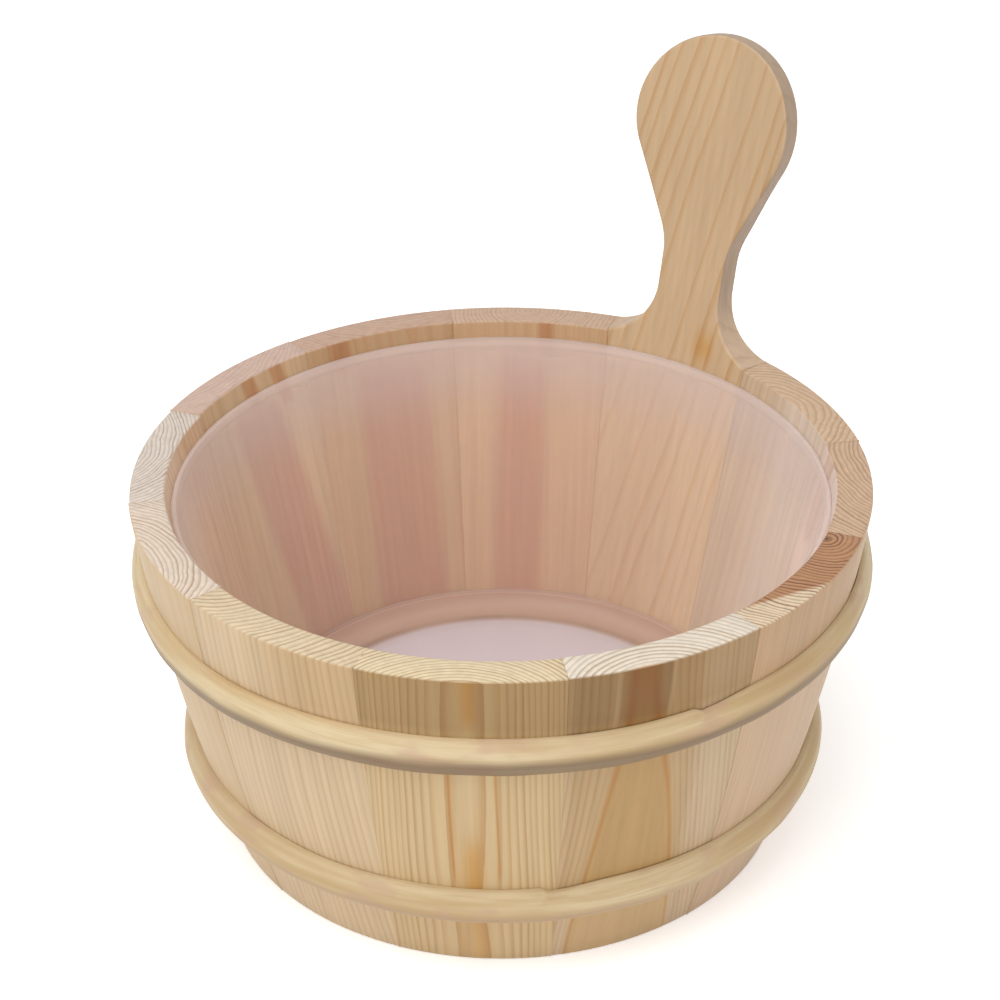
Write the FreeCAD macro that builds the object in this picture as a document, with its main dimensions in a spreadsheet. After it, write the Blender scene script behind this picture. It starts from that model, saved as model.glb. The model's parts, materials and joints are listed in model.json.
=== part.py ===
import FreeCAD, Part
import math
import os
import Sketcher

# Sauna bucket: twelve coopered pine staves, one of them running up into a
# paddle handle, a glued board bottom held in a croze, two bent wooden hoops
# and a loose translucent liner. The origin is the middle of the foot ring on
# the floor, +Z is up and the handle stands at +Y. Lengths are in millimetres
# and angles in degrees. Bearings run anticlockwise from the handle, seen from
# above.
SIZES = {
    # staves
    "stave_count": 12,
    "body_height": 135,
    "rim_radius": 130,
    "foot_radius": 102,
    "rim_thickness": 12.3,
    "wall_curve_radius": 820,
    "stave_lean": 12.4,
    "edge_round": 1,
    # handle, heights measured up its leaning face from the rim
    "paddle_radius": 32.3,
    "paddle_centre_height": 87.3,
    "neck_half_width": 13.6,
    "neck_height": 28,
    "neck_straight": 6,
    "neck_upper_radius": 28,
    "shoulder_radius": 11,
    "back_flare_radius": 120,
    "back_round": 5.4,
    "neck_back_round": 1.6,
    "rim_back_round": 0.6,
    # bottom boards
    "foot_recess": 9.4,
    "bottom_thickness": 10,
    "tongue_thickness": 5,
    "bevel_width": 10,
    "croze_depth": 4,
    "croze_clearance": 0.15,
    "middle_board_width": 64,
    # hoops
    "upper_hoop_height": 104,
    "upper_hoop_width": 15,
    "upper_hoop_thickness": 5.6,
    "lower_hoop_height": 32.4,
    "lower_hoop_width": 14.6,
    "lower_hoop_thickness": 6.8,
    "hoop_edge_thickness": 1.3,
    "hoop_clearance": 0.2,
    "scarf_length": 34,
    "scarf_gap": 0.25,
    "scarf_step_drop": 1.7,
    "scarf_step_run": 24,
    "upper_scarf_bearing": 245,
    "lower_scarf_bearing": 223,
    # liner
    "liner_wall": 1.6,
    "liner_gap": 0.9,
    "lip_depth": 5.8,
    "lip_thickness": 1.8,
    "lip_clearance": 0.3,
    "liner_corner_radius": 9,
    "push_up_height": 1.5,
    "push_up_radius": 74,
    "push_up_slope_run": 3,
}

document = FreeCAD.newDocument("SaunaBucket")
sheet = document.addObject("Spreadsheet::Sheet", "Sizes")
for row, (alias, number) in enumerate(SIZES.items(), start=1):
    sheet.set(f"A{row}", alias.replace("_", " "))
    sheet.set(f"B{row}", str(number))
    sheet.setAlias(f"B{row}", alias)
document.recompute()

parts_made = []

# The outer wall is an arc through the foot edge and the rim edge. These
# expressions give its centre and, from that, its radius at any height.
CHORD = "sqrt((Sizes.rim_radius - Sizes.foot_radius)^2 + Sizes.body_height^2)"
REACH = f"sqrt(Sizes.wall_curve_radius^2 - ({CHORD})^2 / 4)"
ARC_RADIUS = f"((Sizes.rim_radius + Sizes.foot_radius) / 2 - Sizes.body_height * {REACH} / {CHORD})"
ARC_HEIGHT = f"(Sizes.body_height / 2 + (Sizes.rim_radius - Sizes.foot_radius) * {REACH} / {CHORD})"
RIM_INSIDE = "(Sizes.rim_radius - Sizes.rim_thickness)"
CROZE_FLOOR = "(Sizes.foot_recess + Sizes.bottom_thickness - Sizes.tongue_thickness)"
BOARD_TOP = "(Sizes.foot_recess + Sizes.bottom_thickness)"
# The wall leans by this much at its rim. Behind the handle a flare carries it
# on to the lean of the face.
RIM_LEAN = f"asin(({ARC_HEIGHT} - Sizes.body_height) / Sizes.wall_curve_radius)"
FLARE_OUT = f"(Sizes.back_flare_radius * (cos({RIM_LEAN}) - cos(Sizes.stave_lean)))"
FLARE_UP = f"(Sizes.back_flare_radius * (sin(Sizes.stave_lean) - sin({RIM_LEAN})))"
# The shoulders run out to the outer corners of the stave's seams.
SHOULDER_SPAN = "(Sizes.rim_radius * sin(180 / Sizes.stave_count))"
# The neck is cut level up to this height and square to the face above it. Its
# sides run straight over both ends of the change, so the two cuts agree.
NECK_LEVEL = "(Sizes.body_height + Sizes.neck_height * cos(Sizes.stave_lean))"
NECK_OVERLAP = "(Sizes.neck_straight / 4)"
# The handle's blank and the cuts round it are larger than the paddle.
BESIDE_BLANK = "(Sizes.rim_radius * 0.7)"
BLANK_TOP = "(Sizes.paddle_centre_height + Sizes.paddle_radius * 1.2)"
ABOVE_BLANK = f"({BLANK_TOP} * 1.2)"


def value(expression):
    """The number that an expression on the sheet gives."""
    return float(sheet.evalExpression(expression))


def outer_radius(height):
    """Expression for the outer wall's radius at a height."""
    return f"({ARC_RADIUS} + sqrt(Sizes.wall_curve_radius^2 - ({ARC_HEIGHT} - ({height}))^2))"


def inner_radius(height):
    """Expression for the straight inner wall's radius at a height."""
    return f"({RIM_INSIDE} - (Sizes.body_height - ({height})) * tan(Sizes.stave_lean))"


CROZE_RADIUS = f"({inner_radius(CROZE_FLOOR)} + Sizes.croze_depth)"
BOARD_RADIUS = f"({CROZE_RADIUS} - Sizes.croze_clearance)"


def add_body(label):
    """A new body whose label names its file."""
    body = document.addObject("PartDesign::Body", label)
    body.Label = label
    return body


def add_sketch(body, name, role):
    """A sketch on one of the body's own origin planes."""
    sketch = body.newObject("Sketcher::SketchObject", name)
    plane = [feature for feature in body.Origin.OriginFeatures if feature.Role == role][0]
    sketch.AttachmentSupport = [(plane, "")]
    sketch.MapMode = "FlatFace"
    return sketch


def constrain(sketch, kind, *where, size=None):
    """Add a constraint, and bind it to an expression where it has a size."""
    if size is None:
        sketch.addConstraint(Sketcher.Constraint(kind, *where))
        return
    index = sketch.addConstraint(Sketcher.Constraint(kind, *where, value(size)))
    name = f"{kind}{index}"
    sketch.renameConstraint(index, name)
    sketch.setExpression(f"Constraints.{name}", size)


def place_point(sketch, edge, end, across, up):
    """Dimension one end of an edge from the sketch's origin."""
    constrain(sketch, "DistanceX", -1, 1, edge, end, size=across)
    constrain(sketch, "DistanceY", -1, 1, edge, end, size=up)


def add_arc(sketch, centre, radius, start, end):
    """An arc from one point counter-clockwise to another."""
    circle = Part.Circle(centre, FreeCAD.Vector(0, 0, 1), radius)
    sweep = [math.atan2(point.y - centre.y, point.x - centre.x) for point in (start, end)]
    return sketch.addGeometry(Part.ArcOfCircle(circle, sweep[0], sweep[1]), False)


def add_path(sketch, points):
    """Straight edges from point to point, each joined to the next."""
    first = sketch.GeometryCount
    for start, end in zip(points, points[1:]):
        sketch.addGeometry(Part.LineSegment(start, end), False)
    for edge in range(first, sketch.GeometryCount - 1):
        constrain(sketch, "Coincident", edge, 2, edge + 1, 1)
    return range(first, sketch.GeometryCount)


def add_outline(sketch, corners, arcs=None):
    """A closed outline with each corner dimensioned from the origin.

    corners holds pairs of expressions, counter-clockwise. arcs maps the
    number of an edge to the expression for its radius; such an edge bulges
    outward, or inward where the expression begins with a minus sign.
    """
    arcs = arcs or {}
    points = [FreeCAD.Vector(value(across), value(up), 0) for across, up in corners]
    count = len(points)
    backward = []
    for index in range(count):
        start = points[index]
        end = points[(index + 1) % count]
        if index not in arcs:
            sketch.addGeometry(Part.LineSegment(start, end), False)
            continue
        radius = value(arcs[index].lstrip("-"))
        half = (end - start) * 0.5
        outward = FreeCAD.Vector(half.y, -half.x, 0).normalize()
        depth = math.sqrt(radius ** 2 - half.Length ** 2)
        if arcs[index].startswith("-"):
            backward.append(index)
            add_arc(sketch, start + half + outward * depth, radius, end, start)
        else:
            add_arc(sketch, start + half - outward * depth, radius, start, end)
    for index in range(count):
        following = (index + 1) % count
        leaving = 1 if index in backward else 2
        entering = 2 if following in backward else 1
        constrain(sketch, "Coincident", index, leaving, following, entering)
    for index, (across, up) in enumerate(corners):
        place_point(sketch, index, 2 if index in backward else 1, across, up)
    for index, radius in arcs.items():
        constrain(sketch, "Radius", index, size=radius.lstrip("-"))


def turn(body, sketch, kind, angle):
    """Revolve a sketch about the body's upright axis, to add or to cut."""
    feature = body.newObject(f"PartDesign::{kind}", f"{sketch.Name}{kind}")
    feature.Profile = sketch
    feature.ReferenceAxis = (sketch, ["V_Axis"])
    feature.Midplane = True
    feature.setExpression("Angle", angle)
    document.recompute()
    return feature


def check_cut(feature, before):
    """Stop if a cut took nothing away."""
    if feature.Shape.Volume > before - 1e-6:
        raise RuntimeError(f"{feature.Name} cuts nothing")


def cut_through(body, sketch, name, length=None):
    """Saw a sketch's outline right through, or up to a length one way."""
    before = body.Shape.Volume
    pocket = body.newObject("PartDesign::Pocket", name)
    pocket.Profile = sketch
    if length is None:
        pocket.Type = "ThroughAll"
        pocket.Midplane = True
    else:
        pocket.setExpression("Length", length)
    document.recompute()
    check_cut(pocket, before)
    return pocket


def turn_body(body, bearing):
    """Stand a body at its bearing about the upright axis."""
    upright = FreeCAD.Rotation(FreeCAD.Vector(0, 0, 1), 0)
    body.Placement = FreeCAD.Placement(FreeCAD.Vector(0, 0, 0), upright)
    body.setExpression("Placement.Rotation.Angle", bearing)
    document.recompute()


def lies_level(edge, height):
    """Whether an edge is an arc about the upright axis at a height."""
    level = all(abs(vertex.Z - height) < 1e-4 for vertex in edge.Vertexes)
    return level and edge.Curve.TypeId == "Part::GeomCircle"


def cut_croze(body):
    """Turn the groove that holds the bottom boards."""
    before = body.Shape.Volume
    sketch = add_sketch(body, f"{body.Name}Croze", "YZ_Plane")
    inside = f"({inner_radius('0')} - Sizes.rim_thickness)"
    high = f"({BOARD_TOP} + Sizes.croze_clearance)"
    corners = [(inside, CROZE_FLOOR), (CROZE_RADIUS, CROZE_FLOOR), (CROZE_RADIUS, high), (inside, high)]
    add_outline(sketch, corners)
    check_cut(turn(body, sketch, "Groove", "360"), before)


def make_wall_stave(label, bearing):
    """One plain stave, turned about the axis to its place in the wall."""
    body = add_body(label)
    sketch = add_sketch(body, f"{label}Profile", "YZ_Plane")
    corners = [
        (inner_radius("0"), "0"),
        ("Sizes.foot_radius", "0"),
        ("Sizes.rim_radius", "Sizes.body_height"),
        (RIM_INSIDE, "Sizes.body_height"),
    ]
    add_outline(sketch, corners, {1: "Sizes.wall_curve_radius"})
    turn(body, sketch, "Revolution", "360 / Sizes.stave_count")
    cut_croze(body)
    heights = (0, value("Sizes.body_height"))
    base = body.Tip
    fillet = body.newObject("PartDesign::Fillet", f"{label}Rounds")
    fillet.Base = (base, [
        f"Edge{number}" for number, edge in enumerate(base.Shape.Edges, start=1)
        if any(lies_level(edge, height) for height in heights)
    ])
    fillet.setExpression("Radius", "Sizes.edge_round")
    turn_body(body, bearing)
    parts_made.append(body)


def cut_shoulders(body):
    """Saw the handle stave down to the rim beside the neck, on both sides."""
    sketch = add_sketch(body, "ShoulderOutline", "XZ_Plane")
    knee_level = f"({NECK_LEVEL} - Sizes.neck_straight)"
    cut_top = f"({NECK_LEVEL} + {NECK_OVERLAP})"
    rim = value("Sizes.body_height")
    half = value("Sizes.neck_half_width")
    span = value(SHOULDER_SPAN)
    small = value("Sizes.shoulder_radius")
    beyond = value(BESIDE_BLANK)
    reach = span - half
    rise = value(knee_level) - rim - small
    large = (reach ** 2 + rise ** 2 - small ** 2) / (2 * (reach - small))
    lower = FreeCAD.Vector(span, rim + small, 0)
    upper = FreeCAD.Vector(half + large, rim + small + rise, 0)
    joint = lower - (upper - lower).normalize() * small
    foot = FreeCAD.Vector(span, rim, 0)
    knee = FreeCAD.Vector(half, upper.y, 0)
    small_arc = add_arc(sketch, lower, small, joint, foot)
    large_arc = add_arc(sketch, upper, large, knee, joint)
    side, top, edge, base = add_path(sketch, [
        knee,
        FreeCAD.Vector(half, value(cut_top), 0),
        FreeCAD.Vector(beyond, value(cut_top), 0),
        FreeCAD.Vector(beyond, rim, 0),
        foot,
    ])
    constrain(sketch, "Tangent", base, 2, small_arc, 2)
    constrain(sketch, "Tangent", small_arc, 1, large_arc, 2)
    constrain(sketch, "Tangent", large_arc, 1, side, 1)
    constrain(sketch, "Vertical", side)
    constrain(sketch, "Horizontal", top)
    constrain(sketch, "Radius", small_arc, size="Sizes.shoulder_radius")
    place_point(sketch, side, 1, "Sizes.neck_half_width", knee_level)
    place_point(sketch, top, 2, BESIDE_BLANK, cut_top)
    place_point(sketch, base, 1, BESIDE_BLANK, "Sizes.body_height")
    constrain(sketch, "DistanceX", -1, 1, base, 2, size=SHOULDER_SPAN)
    pocket = cut_through(body, sketch, "ShoulderCut")
    before = pocket.Shape.Volume
    mirror = body.newObject("PartDesign::Mirrored", "ShoulderCutMirrored")
    mirror.Originals = [pocket]
    mirror.MirrorPlane = (sketch, ["V_Axis"])
    body.Tip = mirror
    document.recompute()
    check_cut(mirror, before)


def cut_paddle(body):
    """Saw the neck and the paddle square to the handle's leaning face."""
    sketch = add_sketch(body, "PaddleOutline", "XZ_Plane")
    lean = FreeCAD.Rotation(FreeCAD.Vector(-1, 0, 0), value("Sizes.stave_lean"))
    sketch.AttachmentOffset = FreeCAD.Placement(FreeCAD.Vector(0, 0, 0), lean)
    sketch.setExpression("AttachmentOffset.Base.y", "Sizes.body_height")
    sketch.setExpression("AttachmentOffset.Base.z", f"-{RIM_INSIDE}")
    sketch.setExpression("AttachmentOffset.Rotation.Angle", "Sizes.stave_lean")
    knee_level = "(Sizes.neck_height + Sizes.neck_straight)"
    half = value("Sizes.neck_half_width")
    neck = value("Sizes.neck_height")
    bend = value("Sizes.neck_upper_radius")
    head = value("Sizes.paddle_radius")
    beyond = value(BESIDE_BLANK)
    above = value(ABOVE_BLANK)
    centre = FreeCAD.Vector(0, value("Sizes.paddle_centre_height"), 0)
    knee = FreeCAD.Vector(half, value(knee_level), 0)
    hollow = FreeCAD.Vector(half + bend, knee.y, 0)
    offset = hollow - centre
    turned = math.atan2(offset.y, offset.x) + math.acos((head + bend) / offset.Length)
    normal = FreeCAD.Vector(math.cos(turned), math.sin(turned), 0)
    head_end = centre + normal * head
    neck_end = hollow - normal * bend

    def left(point):
        return FreeCAD.Vector(-point.x, point.y, 0)

    crown = add_arc(sketch, centre, head, head_end, left(head_end))
    right_bend = add_arc(sketch, hollow, bend, neck_end, knee)
    left_bend = add_arc(sketch, left(hollow), bend, left(knee), left(neck_end))
    right_side, = add_path(sketch, [head_end, neck_end])
    left_side, = add_path(sketch, [left(neck_end), left(head_end)])
    right_neck, right_foot, right_edge, top, left_edge, left_foot, left_neck = add_path(sketch, [
        knee,
        FreeCAD.Vector(half, neck, 0),
        FreeCAD.Vector(beyond, neck, 0),
        FreeCAD.Vector(beyond, above, 0),
        FreeCAD.Vector(-beyond, above, 0),
        FreeCAD.Vector(-beyond, neck, 0),
        FreeCAD.Vector(-half, neck, 0),
        left(knee),
    ])
    for one, one_end, other, other_end in (
        (crown, 1, right_side, 1),
        (right_side, 2, right_bend, 1),
        (right_bend, 2, right_neck, 1),
        (left_neck, 2, left_bend, 1),
        (left_bend, 2, left_side, 1),
        (left_side, 2, crown, 2),
    ):
        constrain(sketch, "Tangent", one, one_end, other, other_end)
    for edge in (right_neck, right_edge, left_edge, left_neck):
        constrain(sketch, "Vertical", edge)
    for edge in (right_foot, top, left_foot):
        constrain(sketch, "Horizontal", edge)
    constrain(sketch, "Radius", crown, size="Sizes.paddle_radius")
    place_point(sketch, crown, 3, "0", "Sizes.paddle_centre_height")
    for edge in (right_bend, left_bend):
        constrain(sketch, "Radius", edge, size="Sizes.neck_upper_radius")
    place_point(sketch, right_neck, 1, "Sizes.neck_half_width", knee_level)
    place_point(sketch, left_neck, 2, "-Sizes.neck_half_width", knee_level)
    constrain(sketch, "DistanceY", -1, 1, right_foot, 1, size="Sizes.neck_height")
    constrain(sketch, "DistanceY", -1, 1, left_foot, 2, size="Sizes.neck_height")
    place_point(sketch, top, 1, BESIDE_BLANK, ABOVE_BLANK)
    constrain(sketch, "DistanceX", -1, 1, top, 2, size=f"-{BESIDE_BLANK}")
    cut_through(body, sketch, "PaddleCut")


def handle_round(point):
    """The radius of the handle's edge at a point.

    The face keeps a small round all the way. At the back a broad round on
    the paddle runs out down its sides to a slight one on the neck, and
    fades once more towards the rim.
    """
    lean = value("Sizes.stave_lean")
    height = (point.z - value("Sizes.body_height")) / math.cos(math.radians(lean))
    if depth_share(point) < 0.5 or height < -value("Sizes.neck_straight"):
        return value("Sizes.edge_round")
    if height < value("Sizes.neck_straight"):
        return value("Sizes.rim_back_round")
    if height < value("Sizes.paddle_centre_height") * 0.6:
        return value("Sizes.neck_back_round")
    return value("Sizes.back_round")


def depth_share(point):
    """How deep a point lies in the handle, from 0 at its face to 1 behind."""
    face = value(inner_radius(f"{point.z:.6f}"))
    return (math.hypot(point.x, point.y) - face) / value("Sizes.rim_thickness")


def round_handle(label, body):
    """Round the handle stave's edges, all but those at its seams."""
    rim = value("Sizes.body_height")
    rounds = []
    for number, edge in enumerate(body.Shape.Edges, start=1):
        ends = [edge.valueAt(edge.FirstParameter), edge.valueAt(edge.LastParameter)]
        if edge.Orientation == "Reversed":
            ends.reverse()
        if min(end.z for end in ends) < rim - 1e-4:
            chosen = lies_level(edge, 0)
        else:
            shares = [depth_share(end) for end in ends]
            across = ends[0].x * ends[1].x < 0 and abs(ends[0].z - ends[1].z) < 1e-4
            one_side = max(shares) < 0.1 or min(shares) > 0.9
            chosen = one_side and not across
        if chosen:
            rounds.append((number, *[handle_round(end) for end in ends]))
    stave = document.addObject("Part::Fillet", label)
    stave.Label = label
    stave.Base = body
    stave.Edges = rounds
    document.recompute()
    return stave


def make_handle_stave(label):
    """The tall stave at the back, sawn to a neck and a paddle."""
    body = add_body(f"{label}_blank")
    sketch = add_sketch(body, "HandleProfile", "YZ_Plane")
    rise = f"{BLANK_TOP} * cos(Sizes.stave_lean)"
    drift = f"{BLANK_TOP} * sin(Sizes.stave_lean)"
    flare_end = f"(Sizes.rim_radius + {FLARE_OUT})"
    back_drift = f"({rise} - {FLARE_UP}) * tan(Sizes.stave_lean)"
    add_outline(sketch, [
        (inner_radius("0"), "0"),
        ("Sizes.foot_radius", "0"),
        ("Sizes.rim_radius", "Sizes.body_height"),
        (flare_end, f"(Sizes.body_height + {FLARE_UP})"),
        (f"({flare_end} + {back_drift})", f"(Sizes.body_height + {rise})"),
        (f"({RIM_INSIDE} + {drift})", f"(Sizes.body_height + {rise})"),
    ], {1: "Sizes.wall_curve_radius", 2: "-Sizes.back_flare_radius"})
    turn(body, sketch, "Revolution", "360 / Sizes.stave_count")
    cut_croze(body)
    cut_shoulders(body)
    cut_paddle(body)
    parts_made.append(round_handle(label, body))


def make_board(label, side):
    """One board of the bottom: the middle one, or the one on a side (+1, -1)."""
    body = add_body(label)
    sketch = add_sketch(body, f"{label}Outline", "XY_Plane")
    sketch.setExpression("AttachmentOffset.Base.z", "Sizes.foot_recess")
    seam = "(Sizes.middle_board_width / 2)"
    reach = f"sqrt({BOARD_RADIUS}^2 - {seam}^2)"
    if side == 0:
        corners = [(f"-{seam}", f"-{reach}"), (seam, f"-{reach}"), (seam, reach), (f"-{seam}", reach)]
        add_outline(sketch, corners, {0: BOARD_RADIUS, 2: BOARD_RADIUS})
    elif side > 0:
        add_outline(sketch, [(seam, f"-{reach}"), (seam, reach)], {0: BOARD_RADIUS})
    else:
        add_outline(sketch, [(f"-{seam}", reach), (f"-{seam}", f"-{reach}")], {0: BOARD_RADIUS})
    pad = body.newObject("PartDesign::Pad", f"{label}Pad")
    pad.Profile = sketch
    pad.setExpression("Length", "Sizes.bottom_thickness")
    document.recompute()
    before = body.Shape.Volume
    bevel = add_sketch(body, f"{label}Bevel", "YZ_Plane")
    outside = f"({BOARD_RADIUS} + Sizes.croze_depth)"
    add_outline(bevel, [
        (f"({BOARD_RADIUS} - Sizes.bevel_width)", "Sizes.foot_recess"),
        (outside, "Sizes.foot_recess"),
        (outside, CROZE_FLOOR),
        (f"({BOARD_RADIUS} - Sizes.croze_depth)", CROZE_FLOOR),
    ])
    check_cut(turn(body, bevel, "Groove", "360"), before)
    parts_made.append(body)


def make_hoop(label, size, bearing):
    """A half-round strip bent into a ring, its tapered ends lapped and glued.

    The lap shows as a fine slanting joint and as a small step in the top
    edge. It is made at the handle's bearing and turned to its own.
    """
    body = add_body(label)
    sketch = add_sketch(body, f"{label}Section", "YZ_Plane")
    low = f"(Sizes.{size}_hoop_height - Sizes.{size}_hoop_width / 2)"
    high = f"(Sizes.{size}_hoop_height + Sizes.{size}_hoop_width / 2)"
    low_radius = f"({outer_radius(low)} + Sizes.hoop_clearance)"
    high_radius = f"({outer_radius(high)} + Sizes.hoop_clearance)"
    bulge = f"(Sizes.{size}_hoop_thickness - Sizes.hoop_edge_thickness)"
    chord = f"sqrt(({high_radius} - {low_radius})^2 + Sizes.{size}_hoop_width^2)"
    add_outline(sketch, [
        (low_radius, low),
        (f"({low_radius} + Sizes.hoop_edge_thickness)", low),
        (f"({high_radius} + Sizes.hoop_edge_thickness)", high),
        (high_radius, high),
    ], {1: f"((({chord})^2 / 4 + {bulge}^2) / (2 * {bulge}))"})
    turn(body, sketch, "Revolution", "360")
    step = add_sketch(body, f"{label}StepOutline", "XZ_Plane")
    above = f"({high} + Sizes.scarf_step_drop)"
    add_outline(step, [
        ("0", f"({high} - Sizes.scarf_step_drop)"),
        ("0", above),
        ("-Sizes.scarf_step_run", above),
        ("-Sizes.scarf_step_run", high),
    ])
    cut_through(body, step, f"{label}Step", "(Sizes.rim_radius * 1.5)")
    slit = add_sketch(body, f"{label}SlitOutline", "XY_Plane")
    outside = f"({high_radius} + Sizes.{size}_hoop_thickness)"
    inside = f"sqrt(({low_radius} - Sizes.hoop_edge_thickness)^2 - Sizes.scarf_length^2)"
    add_outline(slit, [
        ("0", f"({outside} - Sizes.scarf_gap)"),
        ("0", outside),
        ("-Sizes.scarf_length", inside),
        ("-Sizes.scarf_length", f"({inside} - Sizes.scarf_gap)"),
    ])
    cut_through(body, slit, f"{label}Slit")
    turn_body(body, bearing)
    parts_made.append(body)


def make_liner(label):
    """The loose moulded bucket inside, standing on the bottom boards."""
    body = add_body(label)
    sketch = add_sketch(body, f"{label}Section", "YZ_Plane")
    slope = "tan(Sizes.stave_lean)"
    across = "cos(Sizes.stave_lean)"
    drop = "sin(Sizes.stave_lean)"
    outer_bend = "Sizes.liner_corner_radius"
    inner_bend = "(Sizes.liner_corner_radius - Sizes.liner_wall)"
    bend_height = f"({BOARD_TOP} + {outer_bend})"
    bend_radius = f"({inner_radius(bend_height)} - Sizes.liner_gap - {outer_bend} / {across})"
    lip_top = "(Sizes.body_height - Sizes.lip_depth)"
    lip_under = f"({lip_top} - Sizes.lip_thickness)"
    wall_inside = f"({inner_radius(lip_top)} - Sizes.liner_gap - Sizes.liner_wall / {across})"
    floor_top = f"({BOARD_TOP} + Sizes.liner_wall)"
    slope_end = "(Sizes.push_up_radius + Sizes.push_up_slope_run)"
    add_outline(sketch, [
        ("0", f"({BOARD_TOP} + Sizes.push_up_height)"),
        ("Sizes.push_up_radius", f"({BOARD_TOP} + Sizes.push_up_height)"),
        (slope_end, BOARD_TOP),
        (bend_radius, BOARD_TOP),
        (f"({bend_radius} + {outer_bend} * {across})", f"({bend_height} - {outer_bend} * {drop})"),
        (f"({inner_radius(lip_under)} - Sizes.liner_gap)", lip_under),
        (f"({inner_radius(lip_under)} - Sizes.lip_clearance)", lip_under),
        (f"({inner_radius(lip_under)} - Sizes.lip_clearance)", lip_top),
        (wall_inside, lip_top),
        (f"({bend_radius} + {inner_bend} * {across})", f"({bend_height} - {inner_bend} * {drop})"),
        (bend_radius, floor_top),
        (slope_end, floor_top),
        ("Sizes.push_up_radius", f"({floor_top} + Sizes.push_up_height)"),
        ("0", f"({floor_top} + Sizes.push_up_height)"),
    ], {3: outer_bend, 9: f"-{inner_bend}"})
    turn(body, sketch, "Revolution", "360")
    parts_made.append(body)


stave_count = int(round(value("Sizes.stave_count")))
for number in range(1, stave_count):
    make_wall_stave(f"wall_stave_{number:02d}", f"{number} * 360 / Sizes.stave_count")
make_handle_stave("handle_stave")
make_board("bottom_board_left", -1)
make_board("bottom_board_middle", 0)
make_board("bottom_board_right", 1)
make_hoop("upper_hoop", "upper", "Sizes.upper_scarf_bearing")
make_hoop("lower_hoop", "lower", "Sizes.lower_scarf_bearing")
make_liner("liner")

document.recompute()
for feature in document.Objects:
    if "Invalid" in feature.State or "Error" in feature.State:
        raise RuntimeError(f"{feature.Name} is {feature.State}")
for part in parts_made:
    if part.Shape.isNull() or not part.Shape.isValid() or len(part.Shape.Solids) != 1:
        raise RuntimeError(f"{part.Label} has no single valid solid")
os.makedirs("parts", exist_ok=True)
for part in parts_made:
    part.Shape.exportStep(f"parts/{part.Label}.step")
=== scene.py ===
"""The looks of a sauna bucket of pine staves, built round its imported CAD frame."""

from __future__ import annotations

import json
import logging
import math
from dataclasses import dataclass, field, replace
from enum import Enum

import bmesh
import bpy
from mathutils import Matrix, Vector, noise

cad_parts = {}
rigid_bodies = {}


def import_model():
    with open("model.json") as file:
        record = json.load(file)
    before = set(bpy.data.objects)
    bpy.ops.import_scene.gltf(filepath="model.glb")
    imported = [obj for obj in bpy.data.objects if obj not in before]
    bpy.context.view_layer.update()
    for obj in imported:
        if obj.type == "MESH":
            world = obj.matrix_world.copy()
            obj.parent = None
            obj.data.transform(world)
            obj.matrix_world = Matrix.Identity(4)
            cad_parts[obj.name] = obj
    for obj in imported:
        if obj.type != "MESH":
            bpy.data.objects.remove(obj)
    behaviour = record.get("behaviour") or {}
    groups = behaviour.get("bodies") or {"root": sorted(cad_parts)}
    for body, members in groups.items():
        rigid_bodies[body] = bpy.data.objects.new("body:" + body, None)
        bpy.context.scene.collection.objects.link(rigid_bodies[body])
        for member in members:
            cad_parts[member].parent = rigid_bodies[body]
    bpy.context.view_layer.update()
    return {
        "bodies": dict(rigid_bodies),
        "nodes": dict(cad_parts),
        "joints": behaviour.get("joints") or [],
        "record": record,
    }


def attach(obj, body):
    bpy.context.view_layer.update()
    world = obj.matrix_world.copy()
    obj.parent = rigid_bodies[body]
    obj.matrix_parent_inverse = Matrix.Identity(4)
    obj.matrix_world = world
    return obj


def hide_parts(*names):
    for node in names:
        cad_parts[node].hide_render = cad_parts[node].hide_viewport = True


LOG = logging.getLogger("sauna_bucket")
NEARLY = 1e-6
SEED_STRIDE = 17.3
DRY_WOOD_GLOSS = 0.35
MM = 0.001
FULL_TURN = 2 * math.pi
Colour = tuple[float, float, float]
Paint = Colour | bpy.types.NodeSocket
WHITE: Colour = (1.0, 1.0, 1.0)


def tone(red: int, green: int, blue: int) -> Colour:
    """A colour given in display steps, as linear light.

    Args:
        red: red, 0 to 255.
        green: green, 0 to 255.
        blue: blue, 0 to 255.

    Returns:
        The three parts of the colour, 0 to 1.
    """
    def linear(step: int) -> float:
        """One part of the colour as linear light."""
        share = step / 255
        return share / 12.92 if share <= 0.04045 else ((share + 0.055) / 1.055) ** 2.4

    return (linear(red), linear(green), linear(blue))


# Shader maths


class Value:
    """One number that changes over a surface, with Python's operators."""

    def __init__(self, shader: "Shader", socket: bpy.types.NodeSocket) -> None:
        """Wrap a socket.

        Args:
            shader: the nodes that it belongs to.
            socket: the socket that gives the number.
        """
        self.shader = shader
        self.socket = socket

    def __add__(self, other: "Value | float") -> "Value":
        """The sum."""
        return self.shader.math("ADD", self, other)

    __radd__ = __add__

    def __sub__(self, other: "Value | float") -> "Value":
        """The difference."""
        return self.shader.math("SUBTRACT", self, other)

    def __rsub__(self, other: float) -> "Value":
        """The difference, with the number first."""
        return self.shader.math("SUBTRACT", other, self)

    def __mul__(self, other: "Value | float") -> "Value":
        """The product."""
        return self.shader.math("MULTIPLY", self, other)

    __rmul__ = __mul__

    def __truediv__(self, other: "Value | float") -> "Value":
        """The quotient."""
        return self.shader.math("DIVIDE", self, other)

    def __rtruediv__(self, other: float) -> "Value":
        """The quotient, with the number first."""
        return self.shader.math("DIVIDE", other, self)

    def __neg__(self) -> "Value":
        """The same number with its sign turned."""
        return self.shader.math("MULTIPLY", self, -1.0)

    def __abs__(self) -> "Value":
        """The number without its sign."""
        return self.shader.math("ABSOLUTE", self)


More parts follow.
